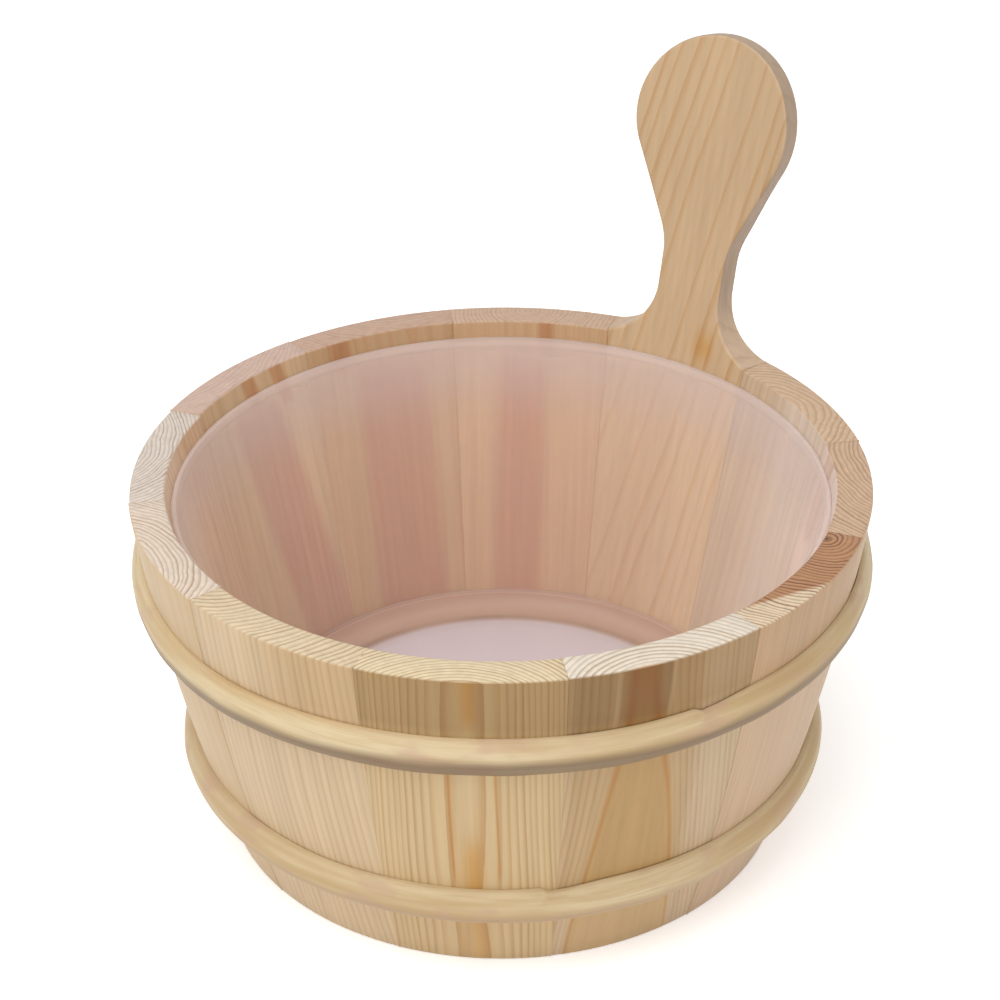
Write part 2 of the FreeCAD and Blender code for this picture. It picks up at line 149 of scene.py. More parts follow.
class Shader:
    """Builds the nodes of one material or of the world.

    Attributes:
        SHARE: the Mix node's socket for the share.
        FIRST: its socket for the first colour.
        SECOND: its socket for the second colour.
        MIXED: its socket for the result.
    """

    SHARE = 0
    FIRST = 6
    SECOND = 7
    MIXED = 2

    def __init__(self, owner: bpy.types.Material | bpy.types.World) -> None:
        """Start with no nodes.

        Args:
            owner: the material or the world.
        """
        self.owner = owner
        self.owner.use_nodes = True
        self.tree = self.owner.node_tree
        self.tree.nodes.clear()

    def node(self, kind: str, settings: dict | None = None, inputs: dict | None = None) -> bpy.types.Node:
        """Add any node.

        Args:
            kind: the node's type.
            settings: its own settings, set first.
            inputs: values or links, by the socket's name or number.

        Returns:
            The node.
        """
        made = self.tree.nodes.new(kind)
        for key, setting in (settings or {}).items():
            setattr(made, key, setting)
        for key, given in (inputs or {}).items():
            socket = made.inputs[key]
            if isinstance(given, Value):
                given = given.socket
            if isinstance(given, bpy.types.NodeSocket):
                self.tree.links.new(given, socket)
            elif isinstance(given, tuple) and socket.type == "RGBA":
                socket.default_value = (*given, 1.0)
            else:
                socket.default_value = given
        return made

    def math(self, operation: str, *values: "Value | float") -> Value:
        """One Math node on one to three numbers."""
        inputs = dict(enumerate(values))
        return Value(self, self.node("ShaderNodeMath", {"operation": operation}, inputs).outputs[0])

    def fraction(self, value: Value) -> Value:
        """What is left of a number above its whole part."""
        return self.math("FRACT", value)

    def root(self, value: Value) -> Value:
        """The square root."""
        return self.math("SQRT", value)

    def larger(self, first: Value, second: "Value | float") -> Value:
        """The larger of two numbers."""
        return self.math("MAXIMUM", first, second)

    def seen(self) -> Value:
        """Tell the rays that show the studio from those that carry its light.

        Returns:
            1 for rays that come straight, from a gloss or through glass, 0 for all others.
        """
        path = self.node("ShaderNodeLightPath")
        rays = [Value(self, path.outputs[f"Is {kind} Ray"]) for kind in ("Camera", "Glossy", "Transmission")]
        return self.larger(self.larger(rays[0], rays[1]), rays[2])

    def step(self, value: Value, start: float, end: float, low: float = 0.0, high: float = 1.0) -> Value:
        """A soft step.

        Args:
            value: the number that is stepped.
            start: where the step starts.
            end: where it ends.
            low: the result before the step.
            high: the result after it.

        Returns:
            The stepped number.
        """
        made = self.node(
            "ShaderNodeMapRange",
            {"interpolation_type": "SMOOTHSTEP"},
            {"Value": value, "From Min": start, "From Max": end, "To Min": low, "To Max": high},
        )
        return Value(self, made.outputs[0])

    def band(self, value: Value, start: float, end: float, blur: float) -> Value:
        """A mask that is 1 between two numbers and fades over the blur."""
        rise = self.step(value, start - blur, start + blur)
        return rise * self.step(value, end - blur, end + blur, 1.0, 0.0)

    def vector(self, x: "Value | float", y: "Value | float", z: "Value | float") -> bpy.types.NodeSocket:
        """Three numbers as one vector."""
        return self.node("ShaderNodeCombineXYZ", None, {0: x, 1: y, 2: z}).outputs[0]

    def parts(self, vector: bpy.types.NodeSocket) -> tuple[Value, ...]:
        """A vector's three numbers."""
        made = self.node("ShaderNodeSeparateXYZ", None, {0: vector})
        return tuple(Value(self, output) for output in made.outputs)

    def noise(
        self, vector: bpy.types.NodeSocket, detail: float = 2.0, roughness: float = 0.5,
        w: "Value | float | None" = None,
    ) -> Value:
        """Smooth noise, about one wave per unit of the vector.

        Args:
            vector: where the noise is read.
            detail: how many finer layers it has.
            roughness: how strong the finer layers are.
            w: a fourth coordinate, or None for three.

        Returns:
            The noise, from 0 to 1.
        """
        inputs = {"Vector": vector, "Scale": 1.0, "Detail": detail, "Roughness": roughness}
        settings = {"noise_dimensions": "3D"}
        if w is not None:
            settings["noise_dimensions"] = "4D"
            inputs["W"] = w
        return Value(self, self.node("ShaderNodeTexNoise", settings, inputs).outputs[0])

    def chance(self, value: Value) -> Value:
        """A fixed random number for each whole number.

        Args:
            value: the number, of which the whole part counts.

        Returns:
            The random number, from 0 to 1.
        """
        whole = self.math("FLOOR", value)
        made = self.node("ShaderNodeTexWhiteNoise", {"noise_dimensions": "1D"}, {"W": whole})
        return Value(self, made.outputs["Value"])

    def mix(
        self, share: "Value | float", first: Paint, second: Paint, blend: str = "MIX",
    ) -> bpy.types.NodeSocket:
        """Mix two colours.

        Args:
            share: how much of the second colour shows.
            first: a colour or a link.
            second: a colour or a link.
            blend: how the second colour is laid over the first.

        Returns:
            The mixed colour.
        """
        settings = {"data_type": "RGBA", "blend_type": blend}
        inputs = {self.SHARE: share, self.FIRST: first, self.SECOND: second}
        return self.node("ShaderNodeMix", settings, inputs).outputs[self.MIXED]

    def place(self, turn: float = 0.0) -> tuple[Value, ...]:
        """The surface point in the piece's own frame.

        Args:
            turn: the turn about the upright axis that comes first.

        Returns:
            The three coordinates in millimetres.
        """
        point = self.node("ShaderNodeTexCoord").outputs["Object"]
        scale = (1.0 / MM, 1.0 / MM, 1.0 / MM)
        inputs = {"Vector": point, "Rotation": (0.0, 0.0, turn), "Scale": scale}
        return self.parts(self.node("ShaderNodeMapping", None, inputs).outputs[0])

    def facing(self) -> tuple[Value, ...]:
        """The three parts of the direction that the surface faces."""
        return self.parts(self.node("ShaderNodeNewGeometry").outputs["Normal"])

    def bump(self, height: Value, distance: float) -> bpy.types.NodeSocket:
        """A normal from a height.

        Args:
            height: the height, as a share of the distance.
            distance: the height in metres.

        Returns:
            The normal.
        """
        inputs = {"Strength": 1.0, "Distance": distance, "Height": height}
        return self.node("ShaderNodeBump", None, inputs).outputs[0]

    def surface(self, inputs: dict) -> bpy.types.Material:
        """End the material in a Principled shader.

        Args:
            inputs: values or links, by the socket's name.

        Returns:
            The material.
        """
        body = self.node("ShaderNodeBsdfPrincipled", None, inputs)
        self.node("ShaderNodeOutputMaterial", None, {"Surface": body.outputs[0]})
        return self.owner


# Finishes


class Side(Enum):
    """Which faces of a plank a stain shows on."""

    OUTSIDE = "outside"
    INSIDE = "inside"
    END = "end"


@dataclass(frozen=True)
class Stain:
    """A patch of another colour in the wood, as a slanting band.

    Attributes:
        side: the faces that it shows on.
        colour: the colour of the patch.
        left: its left side at the rim, mm right of the plank's middle.
        right: its right side.
        slant: how far the band moves right for each mm further out.
        lean: how far it moves right for each mm further down.
        blur: how soft its sides are.
        low: the height that it starts at.
        high: the height that it ends at.
        height_blur: how soft its ends are.
        strength: how much of it shows.
    """

    side: Side
    colour: Colour
    left: float
    right: float
    slant: float = 0.0
    lean: float = 0.0
    blur: float = 1.0
    low: float = -50.0
    high: float = 400.0
    height_blur: float = 3.0
    strength: float = 1.0


@dataclass(frozen=True)
class PineCut:
    """How one piece of pine was cut from its log, in millimetres.

    Attributes:
        pith_across: the middle of the log, right of the plank's middle.
        pith_out: its distance from the bucket's axis at the rim.
        spacing: the width of a year's ring.
        drift_across: how far the log's middle moves right per mm down.
        flare: how much nearer it comes 100 mm down, growing with the square of the depth.
        spring: the pale wood.
        summer: the dark line that ends each ring.
        rim_spring: the pale wood where it is cut across.
        rim_summer: the dark line where it is cut across.
        wall_lines: how strongly the rings show along the wall.
        rim_lines: how strongly they show where they are cut across.
        line_width: the share of a ring that is dark.
        inner_spring: the pale wood on the inside of the bucket.
        inner_summer: the dark line on the inside.
        inner_lines: how strongly the rings show there.
        painted_light_behind_liner: how much lighter the inside is painted behind the liner, as painted light
            against the shadow that the liner casts on the wood.
        heart: the colour of the heartwood.
        heart_edge: the colour of its border.
        rim_heart: its colour where it is cut across.
        heart_radius: how far it reaches from the log's middle.
        waviness: how far the rings wander.
        unequal: how much one ring differs from the next.
        seed: which run of chance it takes.
        stains: patches of another colour.
    """

    pith_across: float
    pith_out: float
    spacing: float
    drift_across: float = 0.0
    flare: float = 0.0
    spring: Colour = tone(216, 190, 152)
    summer: Colour = tone(186, 146, 98)
    rim_spring: Colour = tone(226, 209, 182)
    rim_summer: Colour = tone(196, 170, 136)
    inner_spring: Colour = tone(214, 178, 140)
    inner_summer: Colour = tone(190, 140, 98)
    wall_lines: float = 0.5
    inner_lines: float = 0.4
    painted_light_behind_liner: float = 0.35
    rim_lines: float = 0.7
    line_width: float = 0.42
    heart: Colour = tone(204, 174, 130)
    heart_edge: Colour = tone(206, 152, 92)
    rim_heart: Colour = tone(160, 118, 78)
    heart_radius: float = 0.0
    waviness: float = 1.0
    unequal: float = 0.55
    seed: float = 0.0
    stains: tuple[Stain, ...] = field(default=())


@dataclass
class Plank:
    """What the material of one plank is worked out from, in millimetres.

    Attributes:
        shader: the material's nodes.
        cut: how the plank was cut.
        across: the place right of the plank's middle.
        out: the place out from the bucket's axis.
        along: the place up the grain.
        depth: how far below the rim that is.
        inside: 1 on the inside of the bucket.
        ends: 1 where the wood is cut across.
        edge: 1 on the sawn edge above the rim, or None where there is none.
    """

    shader: Shader
    cut: PineCut
    across: Value
    out: Value
    along: Value
    depth: Value
    inside: Value
    ends: Value
    edge: Value | None

    @property
    def shift(self) -> float:
        """How far the seed moves this plank's chance."""
        return self.cut.seed * SEED_STRIDE


@dataclass(frozen=True)
class Grain:
    """One size of unevenness in wood, longer along the grain.

    Attributes:
        across: waves in a millimetre across the grain.
        along: waves in a millimetre along it.
        amount: how much it changes what follows it.
        detail: how many finer layers it has.
        roughness: how strong they are.
        shifted: which coordinate the seed moves, from 0 for across to 2 for along, or None.
    """

    across: float
    along: float
    amount: float
    detail: float = 2.0
    roughness: float = 0.5
    shifted: int | None = 2

    def read(self, plank: Plank) -> Value:
        """How uneven the wood is.

        Args:
            plank: the plank that it is read in.

        Returns:
            The unevenness, from -0.5 to 0.5.
        """
        scaled = [plank.across * self.across, plank.out * self.across, plank.along * self.along]
        if self.shifted is not None:
            scaled[self.shifted] = scaled[self.shifted] + plank.shift
        return plank.shader.noise(plank.shader.vector(*scaled), self.detail, self.roughness) - 0.5


@dataclass(frozen=True)
class PineFinish:
    """Planed pine with its growth rings running through the solid.

    Attributes:
        lean: how far the inside of the wall leans out, in radians.
        height: the height of the rim.
        inner_radius: the inside radius at the rim.
        outer_radius: the outside radius at the rim.
        outer_lean: how far the outside leans.
        bow: how far the outside bows out between foot and rim.
        free: whether the inside is told by the way it faces.
        laid: whether the plank lies flat, its grain along Y and its inside underneath.
        covered: the height that the liner covers the wood to. Below it the inside is painted lighter, as
            painted light against the liner's shadow.
        roughness: how matt it is.
        relief: how deep the grain is, in metres.
        end_faces: how squarely a face cuts the grain where the ends' look starts and is full.
        inner_faces: how far a face of a free plank is turned in, likewise.
        sawn_faces: how far it is turned sideways, likewise.
        inner_depth: where the inside's look starts to stop and has stopped, past mid-wall.
        wander: how the rings stray from round, in millimetres.
        wave: how they wave.
        ripple: how they ripple.
        streak: its lighter and darker streaks.
        fibre: its fibres.
        pores: its pores.
        years: how fast the width of the rings changes from one to the next.
        year_shift: how much it changes at the least, in rings.
        year_spread: how much more where the rings are unequal.
        line_fade: how much of a ring its dark line takes to come up.
        line_end: where in the ring the line is full, starts to stop and has stopped.
        heart_fade: where the heartwood's colour starts to fade and has gone, past its radius.
        heart_border: where its border starts and ends, and how soft that is.
        heart_shares: how much shows of the border, of the rings, and of the heart in the ends.
        stain_wave: how far the stains follow the waves, in millimetres.
        saw_marks: how uneven the ends are.
        sawn_edge: where the painted shade on the sawn edge starts above the rim, and where it is darkest.
        painted_edge_shade: how much darker that painted shade makes the sawn edge.
    """

    lean: float
    height: float
    inner_radius: float
    outer_radius: float
    outer_lean: float = 0.0
    bow: float = 0.0
    free: bool = False
    laid: bool = False
    covered: float = 127.5 * MM
    roughness: float = 0.52
    relief: float = 0.06 * MM
    end_faces: tuple[float, float] = (0.55, 0.8)
    inner_faces: tuple[float, float] = (-0.55, -0.8)
    sawn_faces: tuple[float, float] = (0.8, 0.45)
    inner_depth: tuple[float, float] = (-3.0, 1.0)
    wander: Grain = Grain(0.045, 0.011, 6.0, detail=1.0, shifted=0)
    wave: Grain = Grain(0.16, 0.016, 1.1, shifted=1)
    ripple: Grain = Grain(0.9, 0.035, 0.22)
    streak: Grain = Grain(0.35, 0.012, 0.28)
    fibre: Grain = Grain(3.2, 0.11, 0.09, detail=1.0, roughness=0.6)
    pores: Grain = Grain(5.0, 5.0, 0.05, detail=1.0, roughness=0.6, shifted=None)
    years: float = 0.37
    year_shift: float = 0.6
    year_spread: float = 1.1
    line_fade: float = 0.22
    line_end: tuple[float, float, float] = (0.93, 0.955, 0.995)
    heart_fade: tuple[float, float] = (-1.3, 0.6)
    heart_border: tuple[float, float, float] = (-1.3, 0.3, 0.5)
    heart_shares: tuple[float, float, float] = (0.8, 0.15, 0.92)
    stain_wave: float = 2.0
    saw_marks: float = 0.24
    sawn_edge: tuple[float, float] = (4.0, 30.0)
    painted_edge_shade: float = 0.25

    def make(self, name: str, cut: PineCut, bearing: float) -> bpy.types.Material:
        """Make the material of one plank.

        Args:
            name: the material's name.
            cut: how the plank was cut.
            bearing: where the plank's middle is, from +Y, anticlockwise.

        Returns:
            The material.
        """
        shader = Shader(bpy.data.materials.new(name))
        plank = self.lay_out(shader, cut, bearing)
        wave, fibre, pores = self.wave.read(plank), self.fibre.read(plank), self.pores.read(plank)
        reach, line = self.grow_rings(plank, wave)
        covered = self.covered / MM
        # Painted light: the inside behind the liner is painted lighter, to make up for the shadow that the
        # liner casts on it.
        painted_light_behind_liner = plank.inside * shader.step(plank.along, covered + 0.6, covered - 0.6)
        looks = self.colour_sides(plank, reach, line, wave, painted_light_behind_liner)
        colour = shader.mix(plank.inside, looks[Side.OUTSIDE], looks[Side.INSIDE])
        colour = shader.mix(plank.ends, colour, looks[Side.END])
        shade = self.shade(plank, fibre, pores, painted_light_behind_liner)
        colour = shader.mix(1.0, colour, shader.vector(shade, shade, shade), "MULTIPLY")
        relief = fibre * 0.6 + pores * (0.2 + 0.9 * plank.ends)
        return shader.surface({
            "Base Color": colour,
            "Roughness": self.roughness - line * 0.08 + fibre * 0.12,
            "Normal": shader.bump(relief, self.relief),
            "Specular IOR Level": DRY_WOOD_GLOSS,
        })

    def lay_out(self, shader: Shader, cut: PineCut, bearing: float) -> Plank:
        """Find the plank's own directions, its inside, its ends and its sawn edge.

        Args:
            shader: the material's nodes.
            cut: how the plank was cut.
            bearing: where its middle is.

        Returns:
            The plank.
        """
        x, y, along = shader.place(-bearing)
        facing = shader.facing()
        if self.laid:
            y, along, facing = along, y, (facing[0], facing[2], facing[1])
        rim = self.height / MM
        depth = rim - along
        ends = shader.step(abs(facing[2]), *self.end_faces)
        edge = None
        if self.free:
            inside = shader.step(facing[1], *self.inner_faces)
            edge = shader.step(abs(facing[1]), *self.sawn_faces) * shader.step(along, rim - 1.0, rim)
            ends = shader.larger(ends, edge)
        else:
            radius = shader.root(x * x + y * y) + depth * math.tan(self.lean)
            middle = (self.inner_radius + self.outer_radius) / MM / 2
            start, end = (middle + past for past in self.inner_depth)
            inside = shader.step(radius, start, end, 1.0, 0.0)
        share = depth * (MM / self.height)
        bulge = share * (1.0 - share) * (4.0 * self.bow / MM)
        out = y + depth * math.tan(self.outer_lean) - bulge * (1.0 - inside)
        return Plank(shader, cut, -x, out, along, depth, inside, ends, edge)

    def grow_rings(self, plank: Plank, wave: Value) -> tuple[Value, Value]:
        """Lay the rings round the pith.

        Args:
            plank: the plank.
            wave: how the rings wave.

        Returns:
            How far the wood is from the pith, and how dark its ring is there.
        """
        shader, cut = plank.shader, plank.cut
        side = plank.across - cut.pith_across + plank.depth * cut.drift_across
        front = plank.out - cut.pith_out + plank.depth * plank.depth * (cut.flare / 10000.0)
        stray = self.wander.read(plank) * self.wander.amount + wave * self.wave.amount
        reach = shader.root(side * side + front * front) + stray * cut.waviness
        reach = reach + self.ripple.read(plank) * self.ripple.amount
        rings = reach / cut.spacing + plank.shift
        uneven = shader.noise(shader.vector(rings * self.years, 0.5, 0.5), 1.0) - 0.5
        rings = rings + uneven * (self.year_shift + self.year_spread * cut.unequal)
        phase = shader.fraction(rings)
        luck = shader.chance(rings)
        full, stop, stopped = self.line_end
        line = shader.step(phase, 1.0 - cut.line_width - self.line_fade, full)
        line = line * shader.step(phase, stop, stopped, 1.0, 0.0)
        return reach, line * (1.0 - cut.unequal + cut.unequal * luck)

    def colour_sides(
        self, plank: Plank, reach: Value, line: Value, wave: Value, painted_light_behind_liner: Value,
    ) -> dict[Side, bpy.types.NodeSocket]:
        """Colour the rings, the heartwood and the stains.

        Args:
            plank: the plank.
            reach: how far the wood is from the pith.
            line: how dark its ring is.
            wave: how the rings wave, which the stains follow.
            painted_light_behind_liner: 1 behind the liner, where the wood is painted lighter against the
                liner's shadow.

        Returns:
            The colour of the outside, the inside and the ends.
        """
        shader, cut = plank.shader, plank.cut
        inner_line = line * cut.inner_lines * (1.0 - 0.35 * painted_light_behind_liner)
        looks = {
            Side.OUTSIDE: shader.mix(line * cut.wall_lines, cut.spring, cut.summer),
            Side.INSIDE: shader.mix(inner_line, cut.inner_spring, cut.inner_summer),
            Side.END: shader.mix(line * cut.rim_lines, cut.rim_spring, cut.rim_summer),
        }
        if cut.heart_radius > 0:
            past = reach - cut.heart_radius
            core = shader.step(past, *self.heart_fade, 1.0, 0.0)
            of_border, of_rings, of_ends = self.heart_shares
            marks = shader.band(past, *self.heart_border) * of_border + line * of_rings
            dark = shader.mix(marks, cut.heart, cut.heart_edge)
            looks[Side.OUTSIDE] = shader.mix(core, looks[Side.OUTSIDE], dark)
            looks[Side.END] = shader.mix(core * of_ends, looks[Side.END], cut.rim_heart)
        for stain in cut.stains:
            slant = (plank.out - self.outer_radius / MM) * stain.slant
            place = plank.across - slant - plank.depth * stain.lean + wave * self.stain_wave
            patch = shader.band(place, stain.left, stain.right, stain.blur)
            patch = patch * shader.band(plank.along, stain.low, stain.high, stain.height_blur)
            patch = patch * stain.strength
            looks[stain.side] = shader.mix(patch, looks[stain.side], stain.colour, "MULTIPLY")
        return looks

    def shade(self, plank: Plank, fibre: Value, pores: Value, painted_light_behind_liner: Value) -> Value:
        """How light the wood is from place to place: its streaks, saw marks, fibres and pores, with painted
        light behind the liner and painted shade on the sawn edge.

        Args:
            plank: the plank.
            fibre: its fibres.
            pores: its pores.
            painted_light_behind_liner: 1 behind the liner, where the wood is painted lighter against the
                liner's shadow.

        Returns:
            What the colour is multiplied by.
        """
        shader, ends = plank.shader, plank.ends
        cut_place = shader.vector(plank.across * 0.35 + plank.shift, plank.out * 1.1, 0.5)
        sawn = shader.noise(cut_place, 2.0, 0.65) - 0.5
        shade = 1.0 + self.streak.read(plank) * self.streak.amount
        # Painted light behind the liner, against the shadow that it casts.
        shade = shade * (1.0 + ends * sawn * self.saw_marks) * (1.0 + painted_light_behind_liner * plank.cut.painted_light_behind_liner)
        # Painted shade: the sawn edge above the rim, which faces away from the light, is painted darker.
        if plank.edge is not None:
            start, end = (self.height / MM + above for above in self.sawn_edge)
            shade = shade * (1.0 - plank.edge * shader.step(plank.along, start, end) * self.painted_edge_shade)
        return shade * (1.0 + fibre * self.fibre.amount) * (1.0 + pores * self.pores.amount)


@dataclass(frozen=True)
class HoopFinish:
    """Pale, straight-grained strip wood, its grain running round the bucket.

    Attributes:
        pale: most of the wood.
        warm: its darker streaks.
        under: the colour of the painted shade on its lower side.
        scuff: where it is rubbed.
        under_from: how far up the painted shade starts, by the way the face points.
        under_to: where the painted shade is full.
        under_share: how much of the painted shade shows.
        warm_run: the noise that the broad streaks start at and are full at.
        streak_run: the same for the narrow ones.
        streak_share: how much of them shows.
        scuff_run: the same for the rubbed places.
        scuff_share: how much of them shows.
        roughness: how matt it is.
        relief: how deep the grain is, in metres.
    """

    pale: Colour = tone(216, 196, 158)
    warm: Colour = tone(193, 163, 118)
    under: Colour = tone(180, 150, 116)
    scuff: Colour = tone(196, 160, 136)
    under_from: float = 0.02
    under_to: float = -0.5
    under_share: float = 0.8
    warm_run: tuple[float, float] = (0.35, 0.7)
    streak_run: tuple[float, float] = (0.45, 0.7)
    streak_share: float = 0.5
    scuff_run: tuple[float, float] = (0.52, 0.68)
    scuff_share: float = 0.5
    roughness: float = 0.5
    relief: float = 0.12 * MM

    def make(self, name: str, seed: float) -> bpy.types.Material:
        """Make the hoop's material.

        Args:
            name: the material's name.
            seed: which run of chance it takes.

        Returns:
            The material.
        """
        shader = Shader(bpy.data.materials.new(name))
        x, y, z = shader.place()
        radius = shader.root(x * x + y * y)
        broad = shader.vector(x * 0.012, y * 0.012, z * 0.16)
        slow = shader.noise(broad, 2.0, w=radius * 0.16 + seed)
        narrow = shader.vector(x * 0.035, y * 0.035, z * 0.9)
        grain = shader.noise(narrow, 2.0, 0.65, w=radius * 0.9 + seed)
        thin = shader.vector(x * 0.08, y * 0.08, z * 4.0)
        fibre = shader.noise(thin, 1.0, 0.6, w=radius * 4.0)
        rubbed = shader.vector(x * 0.05, y * 0.05, z * 0.12 + seed)
        patches = shader.noise(rubbed, 2.0, 0.6)
        colour = shader.mix(shader.step(slow, *self.warm_run), self.pale, self.warm)
        streaks = shader.step(grain, *self.streak_run) * self.streak_share
        colour = shader.mix(streaks, colour, self.warm)
        scuffs = shader.step(patches, *self.scuff_run) * self.scuff_share
        colour = shader.mix(scuffs, colour, self.scuff)
        # Painted shade: faces that turn down are painted darker.
        down = shader.step(shader.facing()[2], self.under_from, self.under_to)
        colour = shader.mix(down * self.under_share, colour, self.under)
        shade = (0.93 + 0.14 * fibre) * (0.95 + 0.1 * grain)
        colour = shader.mix(1.0, colour, shader.vector(shade, shade, shade), "MULTIPLY")
        return shader.surface({
            "Base Color": colour,
            "Roughness": self.roughness + (grain - 0.5) * 0.2,
            "Normal": shader.bump(grain * 0.7 + fibre * 0.3, self.relief),
            "Specular IOR Level": DRY_WOOD_GLOSS,
        })


@dataclass(frozen=True)
class LinerFinish:
    """Frosted, milky polythene that lets the staves show through softly.

    A veil is the share of the plastic that shows, against what lies behind it.

    Attributes:
        milky: the colour of its wall.
        ring_milk: the colour of the ring round its floor.
        floor_milk: the colour of its floor.
        roughness: how matt it is.
        wall_veil: the veil of the wall.
        top_veil: the veil just under the lip.
        lip_veil: the veil of the lip.
        ring_veil: the veil of the ring.
        crease_veil: how much stronger it is at the ring's outer edge.
        floor_veil: the veil of the floor.
        floor_radius: how far the floor reaches, in millimetres.
        corner_height: where the ring starts.
        crease_height: where its outer edge is.
        lip_height: where the lip starts.
        top_reach: how far below the lip the veil starts to grow stronger.
        cloud_size: waves in a millimetre of the clouds in the plastic.
        cloud_share: how much they change the veil.
    """

    milky: Colour = tone(236, 222, 218)
    ring_milk: Colour = tone(222, 190, 174)
    floor_milk: Colour = tone(238, 228, 234)
    roughness: float = 0.4
    wall_veil: float = 0.13
    top_veil: float = 0.3
    lip_veil: float = 0.36
    ring_veil: float = 0.5
    crease_veil: float = 0.12
    floor_veil: float = 0.75
    floor_radius: float = 79.0
    corner_height: float = 26.2
    crease_height: float = 26.2
    lip_height: float = 126.5
    top_reach: float = 34.0
    cloud_size: float = 0.03
    cloud_share: float = 0.06

    def make(self, name: str) -> bpy.types.Material:
        """Make the liner's material.

        Args:
            name: the material's name.

        Returns:
            The material.
        """
        shader = Shader(bpy.data.materials.new(name))
        x, y, z = shader.place()
        radius = shader.root(x * x + y * y)
        place = shader.vector(x * self.cloud_size, y * self.cloud_size, z * self.cloud_size)
        cloud = shader.noise(place, 1.0) - 0.5
        low = shader.step(z, self.corner_height + 0.4, self.corner_height - 0.6)
        disc = low * shader.step(radius, self.floor_radius + 1.5, self.floor_radius - 2.5)
        lip = shader.step(z, self.lip_height - 1.0, self.lip_height + 1.0)
        top = shader.step(z, self.lip_height - self.top_reach, self.lip_height)
        crease = shader.band(z, self.crease_height - 0.6, self.crease_height + 0.4, 0.4)
        veil = self.wall_veil + low * (self.ring_veil - self.wall_veil) + crease * self.crease_veil
        veil = veil + disc * (self.floor_veil - self.ring_veil)
        veil = veil + top * (self.top_veil - self.wall_veil) + lip * (self.lip_veil - self.top_veil)
        colour = shader.mix(disc, shader.mix(low, self.milky, self.ring_milk), self.floor_milk)
        return shader.surface({
            "Base Color": colour,
            "Roughness": self.roughness,
            "Alpha": veil + cloud * self.cloud_share,
            "IOR": 1.4,
        })


# Shapes


class Section:
    """A closed outline in the upright plane, drawn with lines and arcs."""

    def __init__(self, radius: float, height: float) -> None:
        """Start at a point.

        Args:
            radius: its distance from the axis.
            height: its height.
        """
        self.mesh = bmesh.new()
        self.first = bmesh.ops.create_vert(self.mesh, co=(0.0, radius, height))["vert"][0]
        self.end = self.first

    def line(self, radius: float, height: float) -> None:
        """Go straight to a point."""
        self.end = bmesh.ops.extrude_vert_indiv(self.mesh, verts=[self.end])["verts"][0]
        self.end.co = (0.0, radius, height)

    def arc(self, radius: float, height: float, bend: float, steps: int) -> None:
        """Go to a point on an arc.

        Args:
            radius: the point's distance from the axis.
            height: the point's height.
            bend: the arc's radius, below 0 for an arc that turns right.
            steps: how many straight pieces it has.
        """
        start, end = self.end.co.copy(), Vector((0.0, radius, height))
        chord = end - start
        left = Vector((0.0, -chord.z, chord.y)).normalized()
        rise = math.sqrt(bend * bend - chord.length_squared / 4)
        centre = (start + end) / 2 + left * math.copysign(rise, bend)
        angle = 2 * math.asin(chord.length / 2 / abs(bend))
        made = bmesh.ops.spin(
            self.mesh, geom=[self.end], cent=centre, axis=(math.copysign(1.0, bend), 0.0, 0.0),
            dvec=(0.0, 0.0, 0.0), angle=angle, steps=steps, use_merge=False, use_normal_flip=False,
            use_duplicate=False,
        )
        self.end = next(part for part in made["geom_last"] if isinstance(part, bmesh.types.BMVert))
        self.end.co = end

    def close(self) -> None:
        """Go straight back to the first point."""
        bmesh.ops.contextual_create(self.mesh, geom=[self.end, self.first])

    def spin(self, angle: float, steps: int) -> bmesh.types.BMesh:
        """Turn the outline about the upright axis into a solid.

        Args:
            angle: how far it turns.
            steps: how many flats that makes.

        Returns:
            The closed mesh.
        """
        whole = angle >= FULL_TURN - NEARLY
        bmesh.ops.spin(
            self.mesh, geom=self.mesh.verts[:] + self.mesh.edges[:], cent=(0.0, 0.0, 0.0),
            axis=(0.0, 0.0, 1.0), dvec=(0.0, 0.0, 0.0), angle=angle, steps=steps, use_merge=whole,
            use_normal_flip=False, use_duplicate=False,
        )
        bmesh.ops.remove_doubles(self.mesh, verts=self.mesh.verts[:], dist=0.005 * MM)
        if not whole:
            ends = [edge for edge in self.mesh.edges if edge.is_boundary]
            bmesh.ops.holes_fill(self.mesh, edges=ends, sides=0)
        bmesh.ops.recalc_face_normals(self.mesh, faces=self.mesh.faces[:])
        return self.mesh


def finish_mesh(
    mesh: bmesh.types.BMesh, name: str, material: bpy.types.Material, sharp: float = 32.0,
) -> bpy.types.Object:
    """Turn a bmesh into a smooth-shaded object with one material.

    Args:
        mesh: the shape, which is freed.
        name: the object's name.
        material: its material.
        sharp: the angle in degrees above which an edge stays sharp.

    Returns:
        The object.
    """
    data = bpy.data.meshes.new(name)
    mesh.to_mesh(data)
    mesh.free()
    data.polygons.foreach_set("use_smooth", [True] * len(data.polygons))
    data.set_sharp_from_angle(angle=math.radians(sharp))
    data.materials.append(material)
    made = bpy.data.objects.new(name, data)
    bpy.context.scene.collection.objects.link(made)
    return made


